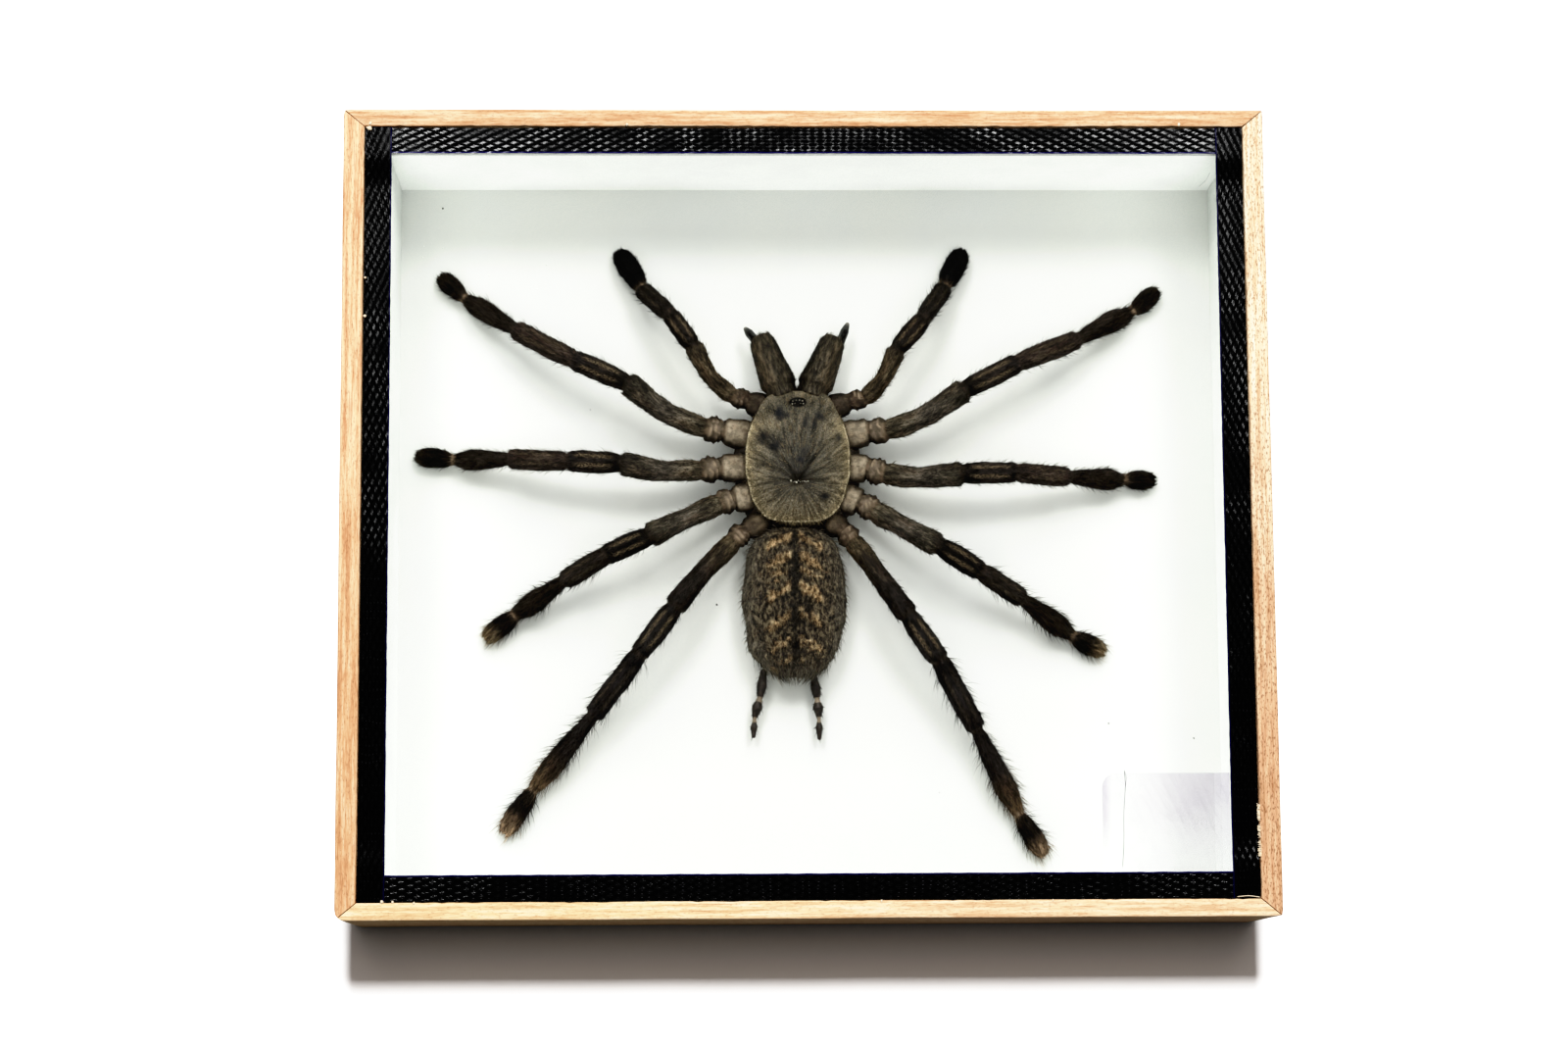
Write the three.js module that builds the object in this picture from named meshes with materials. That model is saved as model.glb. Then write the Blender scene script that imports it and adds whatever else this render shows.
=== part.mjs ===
// A dried tarantula mounted in a shallow glazed wooden box frame.
// Millimetres, +Z up. The frame lies on its back: +Z points out of the glass,
// +Y is the edge that the spider's head faces, and the origin is the centre
// of the back.
import * as THREE from 'three';

// ---- frame ----
const FRAME_WIDTH = 160;
const FRAME_HEIGHT = 140;
const FRAME_DEPTH = 32;
const SIDE_RAIL = 3.6;            // thickness of the left and right rails
const END_RAIL = 3.0;             // thickness of the top and bottom rails
const MITRE_GAP = 0.1;            // each rail stops this short of the mitre
const FIT_GAP = 0.1;              // play between the rails and what they hold

const BACK_THICKNESS = 2.4;       // hardboard back, flush with the rails
const BOARD_THICKNESS = 1.2;      // white card that the spider lies on
const GLASS_THICKNESS = 2.0;
const TAPE_THICKNESS = 0.3;
const GLASS_SETBACK = 0.9;        // glass face below the rails' front edges

// White foam strips that hold the glass off the card; each was cut by hand.
const LINER_LEFT = 4.2;
const LINER_RIGHT = 2.1;
const LINER_TOP = 4.5;
const LINER_BOTTOM = 4.2;

const SIDE_TAPE = 4.75;           // width of the tape along the side rails
const END_TAPE = 4.65;            // width of the tape along the top and bottom
const TAPE_RAMP = 0.5;            // length over which a tape steps up on another
const LABEL_SIZE = [21.8, 16.6];  // clear sticker in the corner of the glass
const LABEL_THICKNESS = 0.12;
const LABEL_CORNER = 2.5;

// ---- spider ----
const MIDLINE = -1.0;             // x of the spider's middle line
const CARAPACE_UNDERSIDE = 11.4;
const CARAPACE_EDGE = 0.5;        // thickness of the shield at its rim
const CARAPACE_DOME = 2.5;
const HEAD_RISE = 0.9;
const EYE_MOUND = 0.7;
const FOVEA_DEPTH = 0.7;
const FOVEA = [0, 7.3];
const EYES = [0, 21.6];
const STERNUM_BOTTOM = 4.8;
const STERNUM_TOP = 11.1;

const INNER_HALF_WIDTH = FRAME_WIDTH / 2 - SIDE_RAIL;
const INNER_HALF_HEIGHT = FRAME_HEIGHT / 2 - END_RAIL;
const BOARD_TOP = BACK_THICKNESS + BOARD_THICKNESS;
const GLASS_TOP = FRAME_DEPTH - GLASS_SETBACK;
const GLASS_BOTTOM = GLASS_TOP - GLASS_THICKNESS;

const specimen = new THREE.Group();

function finish(color, roughness) {
  return new THREE.MeshStandardMaterial({ color, roughness, metalness: 0 });
}

const WOOD = finish(0xe3bd8a, 0.6);
const HARDBOARD = finish(0x8a6a48, 0.8);
const CARD = finish(0xf6f6f0, 0.9);
const FOAM = finish(0xf3f6f1, 0.85);
const GLASS = finish(0xf4f8f6, 0.05);
const TAPE = finish(0x101012, 0.35);
const STICKER = finish(0xf0f3ee, 0.2);
const SHIELD = finish(0x6b5c44, 0.7);
const UNDERBODY = finish(0x4a3b2c, 0.8);
const ABDOMEN = finish(0x5a4b3a, 0.9);
const LEG = finish(0x57493b, 0.8);
const JAW = finish(0x4c4236, 0.7);
const FANG = finish(0x17161a, 0.25);
const SPINNERET = finish(0x3a2d24, 0.75);

function addPiece(name, geometry, material, parent = specimen) {
  const piece = new THREE.Mesh(geometry, material);
  piece.name = name;
  parent.add(piece);
  return piece;
}

function addSlab(name, [left, right], [low, high], [bottom, top], material) {
  const slab = new THREE.BoxGeometry(right - left, high - low, top - bottom);
  const piece = addPiece(name, slab, material);
  piece.position.set((left + right) / 2, (low + high) / 2, (bottom + top) / 2);
  return piece;
}

// ---- wooden rails ----
// A rail seen from the front is a long trapezium: its outer edge runs along X
// at y = 0 and its mitred ends lean in towards the inner edge.
function railGeometry(length, thickness, neighbour) {
  const outer = length / 2 - MITRE_GAP;
  const inner = outer - neighbour;
  const outline = new THREE.Shape([
    new THREE.Vector2(-outer, 0),
    new THREE.Vector2(outer, 0),
    new THREE.Vector2(inner, thickness),
    new THREE.Vector2(-inner, thickness),
  ]);
  return new THREE.ExtrudeGeometry(outline, { depth: FRAME_DEPTH, bevelEnabled: false });
}

function addRails() {
  const end = railGeometry(FRAME_WIDTH, END_RAIL, SIDE_RAIL);
  const side = railGeometry(FRAME_HEIGHT, SIDE_RAIL, END_RAIL);
  addPiece('rail_bottom', end, WOOD).position.y = -FRAME_HEIGHT / 2;
  const top = addPiece('rail_top', end.clone(), WOOD);
  top.position.y = FRAME_HEIGHT / 2;
  top.rotation.z = Math.PI;
  const left = addPiece('rail_left', side, WOOD);
  left.position.x = -FRAME_WIDTH / 2;
  left.rotation.z = -Math.PI / 2;
  const right = addPiece('rail_right', side.clone(), WOOD);
  right.position.x = FRAME_WIDTH / 2;
  right.rotation.z = Math.PI / 2;
}

// ---- back, card, liners and glass ----
function addBoxFilling() {
  const x = INNER_HALF_WIDTH - FIT_GAP;
  const y = INNER_HALF_HEIGHT - FIT_GAP;
  const cavity = [BOARD_TOP, GLASS_BOTTOM];
  addSlab('back_panel', [-x, x], [-y, y], [0, BACK_THICKNESS], HARDBOARD);
  addSlab('mounting_board', [-x, x], [-y, y], [BACK_THICKNESS, BOARD_TOP], CARD);
  addSlab('liner_top', [-x, x], [y - LINER_TOP, y], cavity, FOAM);
  addSlab('liner_bottom', [-x, x], [-y, LINER_BOTTOM - y], cavity, FOAM);
  const between = [LINER_BOTTOM - y + FIT_GAP, y - LINER_TOP - FIT_GAP];
  addSlab('liner_left', [-x, LINER_LEFT - x], between, cavity, FOAM);
  addSlab('liner_right', [x - LINER_RIGHT, x], between, cavity, FOAM);
  addSlab('glass', [-x, x], [-y, y], [GLASS_BOTTOM, GLASS_TOP], GLASS);
}

// ---- tape that seals the glass to the rails ----
// The top and bottom strips lie flat on the glass. The side strips run the
// full height and step up over the ends of the other two.
function sideTapeGeometry(width, halfLength, flatHalfLength) {
  const t = TAPE_THICKNESS;
  const underside = [
    [-halfLength, t], [-flatHalfLength - TAPE_RAMP, t], [-flatHalfLength, 0],
    [flatHalfLength, 0], [flatHalfLength + TAPE_RAMP, t], [halfLength, t],
  ];
  const topside = underside.map(([along, height]) => [along, height + t]).reverse();
  const outline = [...underside, ...topside].map(([along, height]) => (
    new THREE.Vector2(along, height)));
  const strip = new THREE.ExtrudeGeometry(new THREE.Shape(outline), {
    depth: width, bevelEnabled: false,
  });
  strip.rotateX(Math.PI / 2);
  strip.rotateZ(Math.PI / 2);
  return strip;
}

function addTape() {
  const x = INNER_HALF_WIDTH - FIT_GAP;
  const y = INNER_HALF_HEIGHT - FIT_GAP;
  const innerX = INNER_HALF_WIDTH - SIDE_TAPE;
  const innerY = INNER_HALF_HEIGHT - END_TAPE;
  const flat = [GLASS_TOP, GLASS_TOP + TAPE_THICKNESS];
  addSlab('tape_top', [-x, x], [innerY, y], flat, TAPE);
  addSlab('tape_bottom', [-x, x], [-y, -innerY], flat, TAPE);
  const width = x - innerX;
  const strip = sideTapeGeometry(width, y, innerY - FIT_GAP - TAPE_RAMP);
  addPiece('tape_left', strip, TAPE).position.set(-x, 0, GLASS_TOP);
  addPiece('tape_right', strip.clone(), TAPE).position.set(innerX, 0, GLASS_TOP);
}

function addLabel() {
  const [width, height] = LABEL_SIZE;
  const outline = new THREE.Shape();
  outline.moveTo(0, 0);
  outline.lineTo(0, -height);
  outline.lineTo(-width, -height);
  outline.lineTo(-width, -LABEL_CORNER);
  outline.absarc(LABEL_CORNER - width, -LABEL_CORNER, LABEL_CORNER, Math.PI, Math.PI / 2, true);
  const sticker = new THREE.ExtrudeGeometry(outline, {
    depth: LABEL_THICKNESS, bevelEnabled: false, curveSegments: 5,
  });
  const label = addPiece('corner_label', sticker, STICKER);
  const right = INNER_HALF_WIDTH - SIDE_TAPE - FIT_GAP;
  const top = LABEL_SIZE[1] + END_TAPE + FIT_GAP - INNER_HALF_HEIGHT;
  label.position.set(right, top, GLASS_TOP);
}

// ---- grown pieces: a closed skin through a row of rings ----
function vector(point) {
  return new THREE.Vector3(...point);
}

function signedVolume(points, triangles) {
  const edge = new THREE.Vector3();
  let volume = 0;
  for (const [a, b, c] of triangles) {
    volume += points[a].dot(edge.crossVectors(points[b], points[c])) / 6;
  }
  return volume;
}

function closedSkin(firstPole, rings, lastPole) {
  const sides = rings[0].length;
  const points = [firstPole, ...rings.flat(), lastPole];
  const last = points.length - 1;
  const at = (ring, side) => 1 + ring * sides + (side % sides);
  const triangles = [];
  for (let side = 0; side < sides; side += 1) {
    triangles.push([0, at(0, side + 1), at(0, side)]);
    for (let ring = 0; ring < rings.length - 1; ring += 1) {
      triangles.push([at(ring, side), at(ring, side + 1), at(ring + 1, side)]);
      triangles.push([at(ring, side + 1), at(ring + 1, side + 1), at(ring + 1, side)]);
    }
    triangles.push([last, at(rings.length - 1, side), at(rings.length - 1, side + 1)]);
  }
  if (signedVolume(points, triangles) < 0) {
    triangles.forEach((triangle) => triangle.reverse());
  }
  const geometry = new THREE.BufferGeometry().setFromPoints(points);
  geometry.setIndex(triangles.flat());
  geometry.computeVertexNormals();
  return geometry;
}

// A skin around a path. Each section has a centre, a half width, and half
// heights above and below its centre; it stands square to the path.
function loftGeometry(start, sections, end, sides) {
  const centres = [start, ...sections.map((section) => section.centre), end].map(vector);
  const rings = sections.map((section, index) => {
    const along = centres[index + 2].clone().sub(centres[index]).normalize();
    const up = new THREE.Vector3(0, 0, 1).addScaledVector(along, -along.z).normalize();
    const across = new THREE.Vector3().crossVectors(up, along);
    return Array.from({ length: sides }, (_, side) => {
      const angle = 2 * Math.PI * side / sides;
      const lift = Math.sin(angle) * (Math.sin(angle) > 0 ? section.above : section.below);
      return centres[index + 1].clone()
        .addScaledVector(across, Math.cos(angle) * section.half)
        .addScaledVector(up, lift);
    });
  });
  return closedSkin(centres[0], rings, centres[centres.length - 1]);
}

// ---- carapace and sternum ----
// The right half of the carapace's outline, from the front to the rear.
const CARAPACE_HALF_OUTLINE = [
  [3.2, 23.9], [5.3, 23.3], [6.6, 21.4], [8.1, 18.6], [9.1, 15.4], [9.4, 12],
  [9.2, 8.6], [8.5, 5.4], [7.2, 2.6], [5, 0.7], [1.8, 0.2],
];
const CARAPACE_CENTRE = [0, 9];
const CARAPACE_SIDES = 30;
const CARAPACE_RINGS = [0.16, 0.36, 0.56, 0.72, 0.82, 0.9, 0.97, 1];
const STERNUM_HALF_OUTLINE = [[2, 22.4], [3.6, 20], [4.4, 16], [4.4, 8], [3.6, 4], [1.8, 2.2]];

function mirrored(halfOutline) {
  return [...halfOutline, ...halfOutline.map(([x, y]) => [-x, y]).reverse()];
}

function bump(x, y, [centreX, centreY], wide, long) {
  return Math.exp(-(((x - centreX) / wide) ** 2) - (((y - centreY) / long) ** 2));
}

function carapaceHeight(x, y, reach) {
  const dome = CARAPACE_DOME * (1 - reach ** 2.6);
  const head = HEAD_RISE * bump(x, y, [0, 18.5], 4, 5) * (1 - reach ** 6);
  const eyes = EYE_MOUND * bump(x, y, EYES, 1.5, 1.2);
  const fovea = FOVEA_DEPTH * bump(x, y, FOVEA, 1.4, 0.8);
  return CARAPACE_UNDERSIDE + CARAPACE_EDGE + dome + head + eyes - fovea;
}

function addCarapace() {
  const outline = mirrored(CARAPACE_HALF_OUTLINE).map(([x, y]) => new THREE.Vector3(x, y, 0));
  const rim = new THREE.CatmullRomCurve3(outline, true).getSpacedPoints(CARAPACE_SIDES);
  rim.pop();
  const [centreX, centreY] = CARAPACE_CENTRE;
  const ring = (reach, height) => rim.map((point) => {
    const x = centreX + (point.x - centreX) * reach;
    const y = centreY + (point.y - centreY) * reach;
    return new THREE.Vector3(x, y, height(x, y, reach));
  });
  const top = vector([...CARAPACE_CENTRE, carapaceHeight(...CARAPACE_CENTRE, 0)]);
  const bottom = vector([...CARAPACE_CENTRE, CARAPACE_UNDERSIDE]);
  const rings = CARAPACE_RINGS.map((reach) => ring(reach, carapaceHeight));
  rings.push(ring(0.985, () => CARAPACE_UNDERSIDE));
  rings.push(ring(0.5, () => CARAPACE_UNDERSIDE));
  addPiece('carapace', closedSkin(top, rings, bottom), SHIELD).position.x = MIDLINE;
}

function addSternum() {
  const bevel = 0.8;
  const corners = mirrored(STERNUM_HALF_OUTLINE).map(([x, y]) => (
    new THREE.Vector2(x - Math.sign(x) * bevel, y)));
  const body = new THREE.ExtrudeGeometry(new THREE.Shape(corners), {
    depth: STERNUM_TOP - STERNUM_BOTTOM - 2 * bevel,
    bevelThickness: bevel,
    bevelSize: bevel,
    bevelSegments: 1,
  });
  addPiece('sternum', body, UNDERBODY).position.set(MIDLINE, 0, STERNUM_BOTTOM + bevel);
}

// ---- abdomen and spinnerets ----
// Distance behind the carapace and half width of each section.
const ABDOMEN_SECTIONS = [
  [-0.9, 3.6], [-1.6, 5.4], [-2.8, 7], [-4.6, 8], [-7, 8.6], [-10, 9], [-13.5, 9.15],
  [-17, 8.9], [-20, 8.3], [-22.6, 7.4], [-24.6, 6.2], [-26, 4.6], [-26.8, 2.6],
];
const ABDOMEN_FRONT = -0.6;
const ABDOMEN_REAR = -27;
const ABDOMEN_MIDLINE = -1.7;
const ABDOMEN_MID_HEIGHT = 9.6;
const ABDOMEN_ABOVE = 0.66;       // height above the mid line, per half width
const ABDOMEN_BELOW = 0.58;

function addAbdomen() {
  const sections = ABDOMEN_SECTIONS.map(([y, half]) => ({
    centre: [ABDOMEN_MIDLINE, y, ABDOMEN_MID_HEIGHT],
    half,
    above: half * ABDOMEN_ABOVE,
    below: half * ABDOMEN_BELOW,
  }));
  const ends = [ABDOMEN_FRONT, ABDOMEN_REAR].map((y) => (
    [ABDOMEN_MIDLINE, y, ABDOMEN_MID_HEIGHT]));
  addPiece('abdomen', loftGeometry(ends[0], sections, ends[1], 20), ABDOMEN);
}

// A piece of round sections along a path of straight stretches. Each stretch
// has a start and an end, and a list of [fraction along it, radius].
function beadedGeometry(start, stretches, end, sides) {
  const sections = stretches.flatMap(([from, to, beads]) => beads.map(([fraction, radius]) => ({
    centre: vector(from).lerp(vector(to), fraction).toArray(),
    half: radius,
    above: radius,
    below: radius,
  })));
  return loftGeometry(start, sections, end, sides);
}

const SPINNERET_JOINTS = {
  spinneret_left: [[-7.2, -26, 7.4], [-7.8, -30.2, 6.9], [-8.8, -33.8, 6.5], [-9, -37.4, 6.1]],
  spinneret_right: [[1.8, -27, 7.4], [2.3, -30.4, 6.9], [2.6, -33.8, 6.5], [2.7, -37.8, 6.1]],
};
const SPINNERET_BEADS = [
  [[0.06, 0.62], [0.5, 0.8], [0.94, 0.62]],
  [[0.08, 0.5], [0.5, 0.8], [0.92, 0.5]],
  [[0.1, 0.32], [0.45, 0.55], [0.85, 0.38]],
];

function addSpinnerets() {
  for (const [name, joints] of Object.entries(SPINNERET_JOINTS)) {
    const stretches = SPINNERET_BEADS.map((beads, index) => (
      [joints[index], joints[index + 1], beads]));
    addPiece(name, beadedGeometry(joints[0], stretches, joints[3], 8), SPINNERET);
  }
}

// ---- chelicerae and fangs ----
const CHELICERAE = {
  left: { root: [-4.1, 24.4, 10.2], tip: [-7.5, 34.4, 9.2], fang: [[-9.2, 34.6, 9], [-10.3, 36.1, 8.2]] },
  right: { root: [2.1, 24.4, 10.2], tip: [5.8, 34.1, 9.2], fang: [[7.3, 34.4, 9], [8.3, 37, 8.2]] },
};
const CHELICERA_FORM = [
  [0.02, 0.84], [0.1, 1], [0.4, 0.94], [0.66, 0.85], [0.88, 0.74], [0.97, 0.58],
];
const CHELICERA_HALF_WIDTH = 2.95;
const CHELICERA_HALF_HEIGHT = 2.7;
const FANG_FORM = [[0.08, 0.42], [0.35, 0.5], [0.65, 0.36], [0.88, 0.2]];

function addJaws() {
  for (const [side, jaw] of Object.entries(CHELICERAE)) {
    const sections = CHELICERA_FORM.map(([fraction, size]) => ({
      centre: vector(jaw.root).lerp(vector(jaw.tip), fraction).toArray(),
      half: CHELICERA_HALF_WIDTH * size,
      above: CHELICERA_HALF_HEIGHT * size,
      below: CHELICERA_HALF_HEIGHT * size,
    }));
    addPiece(`chelicera_${side}`, loftGeometry(jaw.root, sections, jaw.tip, 12), JAW);
    const [hinge, point] = jaw.fang;
    addPiece(`fang_${side}`, beadedGeometry(hinge, [[hinge, point, FANG_FORM]], point, 8), FANG);
  }
}

// ---- legs and pedipalps ----
// How each segment swells along its length: [fraction, share of its width].
const SEGMENT_FORMS = {
  coxa: [[0.05, 0.75], [0.5, 1], [0.93, 0.9]],
  trochanter: [[0.1, 0.8], [0.5, 1], [0.92, 0.84]],
  femur: [[0.03, 0.8], [0.2, 0.86], [0.45, 0.84], [0.7, 0.9], [0.9, 1], [0.985, 0.98]],
  patella: [[0.02, 0.88], [0.3, 1], [0.7, 1], [0.98, 0.92]],
  tibia: [[0.02, 0.92], [0.3, 1], [0.75, 1], [0.985, 0.95]],
  metatarsus: [[0.02, 0.62], [0.25, 0.74], [0.5, 0.95], [0.75, 1], [0.97, 0.58]],
  tarsus: [[0.03, 0.56], [0.25, 0.88], [0.6, 1], [0.85, 0.86], [0.96, 0.5]],
};
const LEG_WIDTHS = {
  coxa: 4.6, trochanter: 4.2, femur: 4.2, patella: 3.7, tibia: 3.5, metatarsus: 3.6, tarsus: 3.3,
};
const HIND_LEG_WIDTHS = { ...LEG_WIDTHS, coxa: 4, trochanter: 3.6, femur: 4, tarsus: 3.4 };
const PALP_WIDTHS = {
  coxa: 3.2, trochanter: 2.9, femur: 3.3, patella: 3.3, tibia: 3.1, tarsus: 3.7,
};

// Heights of the joints: the start of each segment, the middle of the femur,
// and the tip. The knees stand high and the feet rest on the card.
const LEG_HEIGHTS = [8.6, 9, 10, 12.6, 15, 14.5, 10.6, 6.4, 5.2];
const PALP_HEIGHTS = [8.2, 9, 10, 12.2, 14.5, 14, 9, 5.2];

// Plan positions of the same joints, from the body outwards.
const LEG_PLANS = {
  leg_1_left: [[-6.6, 15.8], [-14.2, 17.2], [-17.3, 17.4], [-24, 19.6], [-31.2, 24.8],
    [-40.4, 28.9], [-51, 35.2], [-60.3, 41.6], [-65, 46.2]],
  leg_2_left: [[-6.6, 10.6], [-14.7, 10.4], [-18, 9.9], [-25, 9.4], [-32.2, 10.4],
    [-41.5, 10.9], [-52, 11.8], [-62, 12.4], [-69, 13.3]],
  leg_3_left: [[-6.6, 5.8], [-12.5, 4.8], [-14.7, 4], [-20.8, 1], [-27.2, -2.5],
    [-34.8, -5.8], [-42.3, -9.8], [-51, -15.3], [-56.6, -19.6]],
  leg_4_left: [[-5.8, 1.4], [-10.2, -0.7], [-12.3, -2.6], [-17.2, -7.9], [-22.8, -15],
    [-28.9, -23.1], [-37.1, -33.5], [-47.7, -46.2], [-53.1, -54]],
  leg_1_right: [[4.8, 15.8], [11.9, 17], [14.7, 17], [21, 18.8], [28.5, 23.5],
    [38, 28.3], [49.2, 33.4], [59.5, 39.2], [64.5, 43.5]],
  leg_2_right: [[4.8, 10.6], [11.7, 10.4], [14.3, 9.2], [20.8, 8.1], [27.8, 8.5],
    [37.4, 8.7], [47.2, 8.5], [57.4, 8.6], [63.3, 8.7]],
  leg_3_right: [[4.8, 5.8], [10.2, 4.2], [12.4, 2.7], [18, -1], [23.5, -4.3],
    [30.9, -8.8], [38.6, -13.3], [47.6, -19.2], [53.6, -22.4]],
  leg_4_right: [[4, 1.4], [6.9, -0.6], [8.6, -2.6], [12.6, -8.6], [18, -16.5],
    [23.4, -24.3], [30.1, -36.2], [37.7, -50.9], [42.4, -58.4]],
};
const PALP_PLANS = {
  pedipalp_left: [[-5.2, 20.4], [-9.6, 22.6], [-12.4, 23.1], [-16.5, 26.4], [-19.4, 31.4],
    [-23.5, 37.2], [-28.5, 42.8], [-32.8, 50.5]],
  pedipalp_right: [[3.4, 20.4], [8.3, 22.5], [11, 22.7], [14.3, 26], [16.5, 30.6],
    [21.3, 36.4], [25.5, 43.1], [29.2, 50.7]],
};
const FEMUR = 2;                  // the femur's place in the row of segments
const LIMB_SIDES = 10;

// The femur bends, so its two halves share one path through three joints.
function limbPath(joints) {
  const bend = FEMUR + 1;
  const femur = new THREE.CatmullRomCurve3(joints.slice(FEMUR, bend + 2));
  const straight = (from, to) => new THREE.LineCurve3(from, to);
  const before = joints.slice(0, FEMUR).map((joint, index) => straight(joint, joints[index + 1]));
  const outer = joints.slice(bend + 1);
  const after = outer.slice(0, -1).map((joint, index) => straight(joint, outer[index + 1]));
  return [...before, femur, ...after];
}

function limbGeometry(plan, heights, widths) {
  const joints = plan.map(([x, y], index) => new THREE.Vector3(x, y, heights[index]));
  const curves = limbPath(joints);
  const sections = Object.entries(widths).flatMap(([segment, width], index) => (
    SEGMENT_FORMS[segment].map(([fraction, share]) => {
      const half = width * share / 2;
      return { centre: curves[index].getPointAt(fraction).toArray(), half, above: half, below: half };
    })));
  const [root, tip] = [joints[0], joints[joints.length - 1]];
  return loftGeometry(root.toArray(), sections, tip.toArray(), LIMB_SIDES);
}

function addLimbs() {
  for (const [name, plan] of Object.entries(LEG_PLANS)) {
    const widths = name.startsWith('leg_4') ? HIND_LEG_WIDTHS : LEG_WIDTHS;
    addPiece(name, limbGeometry(plan, LEG_HEIGHTS, widths), LEG);
  }
  for (const [name, plan] of Object.entries(PALP_PLANS)) {
    addPiece(name, limbGeometry(plan, PALP_HEIGHTS, PALP_WIDTHS), LEG);
  }
}

addRails();
addBoxFilling();
addTape();
addLabel();
addCarapace();
addSternum();
addAbdomen();
addSpinnerets();
addJaws();
addLimbs();

export default specimen;
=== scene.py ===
"""The looks of the framed tarantula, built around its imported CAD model.

Metres, +Z out of the glass, +Y the edge that the spider's head faces. Sizes
that are easier to read in millimetres are multiplied by MM. Each part of the
spider is a fine skin, sampled from its CAD node, with hair grown on it. Values
on the skin's points, called marks, tell the materials where rings, stripes,
creases and grain are.
"""
import itertools
import math
from collections import defaultdict
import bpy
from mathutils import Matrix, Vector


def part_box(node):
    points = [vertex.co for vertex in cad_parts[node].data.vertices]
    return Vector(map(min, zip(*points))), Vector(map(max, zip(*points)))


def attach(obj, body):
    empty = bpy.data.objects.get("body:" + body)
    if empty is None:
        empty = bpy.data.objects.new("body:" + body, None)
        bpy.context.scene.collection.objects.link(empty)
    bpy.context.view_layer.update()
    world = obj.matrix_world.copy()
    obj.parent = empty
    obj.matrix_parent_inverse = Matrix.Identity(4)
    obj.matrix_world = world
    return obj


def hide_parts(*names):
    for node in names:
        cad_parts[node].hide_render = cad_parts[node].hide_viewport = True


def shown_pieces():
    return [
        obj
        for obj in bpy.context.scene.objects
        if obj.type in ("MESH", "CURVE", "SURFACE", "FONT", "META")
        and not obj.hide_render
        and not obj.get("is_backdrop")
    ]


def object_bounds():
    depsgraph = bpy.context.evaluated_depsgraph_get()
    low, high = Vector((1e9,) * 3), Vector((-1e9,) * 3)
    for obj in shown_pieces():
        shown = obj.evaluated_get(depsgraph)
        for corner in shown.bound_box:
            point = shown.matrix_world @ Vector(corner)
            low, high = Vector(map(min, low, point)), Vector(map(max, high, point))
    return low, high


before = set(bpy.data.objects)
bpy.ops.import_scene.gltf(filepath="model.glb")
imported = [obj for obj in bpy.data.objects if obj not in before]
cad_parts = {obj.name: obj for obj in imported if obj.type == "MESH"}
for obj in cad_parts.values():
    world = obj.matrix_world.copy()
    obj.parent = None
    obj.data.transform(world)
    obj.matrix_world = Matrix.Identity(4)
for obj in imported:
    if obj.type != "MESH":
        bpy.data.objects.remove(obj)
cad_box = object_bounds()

from types import SimpleNamespace

import bpy
import numpy as np
from mathutils import Vector

MM = 0.001
UP = np.array([0.0, 0.0, 1.0])
ROOT = "root"


# ---------------------------------------------------------------- helpers --
def unit(vectors):
    size = np.linalg.norm(vectors, axis=-1, keepdims=True)
    return vectors / np.maximum(size, 1e-12)


def box(node):
    low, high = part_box(node)
    return np.array(low), np.array(high)


def smooth_step(value, start, end):
    part = np.clip((value - start) / (end - start), 0, 1)
    return part * part * (3 - 2 * part)


def bell(value, middle, width):
    return np.exp(-(((value - middle) / width) ** 2))


NOISE_CELLS = 24


def soft_noise(points, size, seed):
    """Random values from -1 to 1 that change smoothly over about size."""
    table = np.random.default_rng(seed).uniform(-1, 1, (NOISE_CELLS,) * 3)
    scaled = np.asarray(points) / size
    cell = np.floor(scaled)
    part = scaled - cell
    part = part * part * (3 - 2 * part)
    low = cell.astype(int)
    total = 0
    for corner in itertools.product((0, 1), repeat=3):
        weight = np.prod(np.where(corner, part, 1 - part), axis=-1)
        x, y, z = np.moveaxis((low + corner) % NOISE_CELLS, -1, 0)
        total = total + weight * table[x, y, z]
    return total


def lay(values, shape):
    """Values spread over a whole grid."""
    return np.broadcast_to(values, shape).copy()


def resample(values, known, wanted):
    """Rows of values that stand at known places, read at the places wanted."""
    flat = values.reshape(len(values), -1)
    rows = np.stack([np.interp(wanted, known, column) for column in flat.T], axis=-1)
    return rows.reshape(len(wanted), *values.shape[1:])


def soften(values, steps):
    """Smooths rows of values over a number of steps and keeps both ends."""
    reach = int(3 * steps) + 1
    kernel = bell(np.arange(-reach, reach + 1), 0, steps * math.sqrt(2))
    kernel /= kernel.sum()
    flat = values.reshape(len(values), -1)
    padded = np.pad(flat, ((reach, reach), (0, 0)), "reflect", reflect_type="odd")
    columns = [np.convolve(column, kernel, "valid") for column in padded.T]
    return np.stack(columns, axis=-1).reshape(values.shape)


def add_mesh(name, points, faces, marks=None, smooth=True):
    """A mesh object in the scene. marks are values or vectors per vertex."""
    mesh = bpy.data.meshes.new(name)
    mesh.from_pydata(np.asarray(points, float).tolist(), [], faces)
    mesh.polygons.foreach_set("use_smooth", [smooth] * len(mesh.polygons))
    for mark, values in (marks or {}).items():
        values = np.asarray(values, np.float32)
        if values.ndim == 2:
            layer = mesh.attributes.new(mark, "FLOAT_VECTOR", "POINT")
            layer.data.foreach_set("vector", values.ravel())
        else:
            layer = mesh.attributes.new(mark, "FLOAT", "POINT")
            layer.data.foreach_set("value", values.ravel())
    mesh.update()
    piece = bpy.data.objects.new(name, mesh)
    bpy.context.scene.collection.objects.link(piece)
    return piece


def place_piece(piece, material, slot, *nodes):
    """Gives a piece its material and hides the CAD nodes it stands for; its slot is not used."""
    piece.data.materials.append(material)
    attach(piece, ROOT)
    if nodes:
        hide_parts(*nodes)
    return piece


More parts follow.
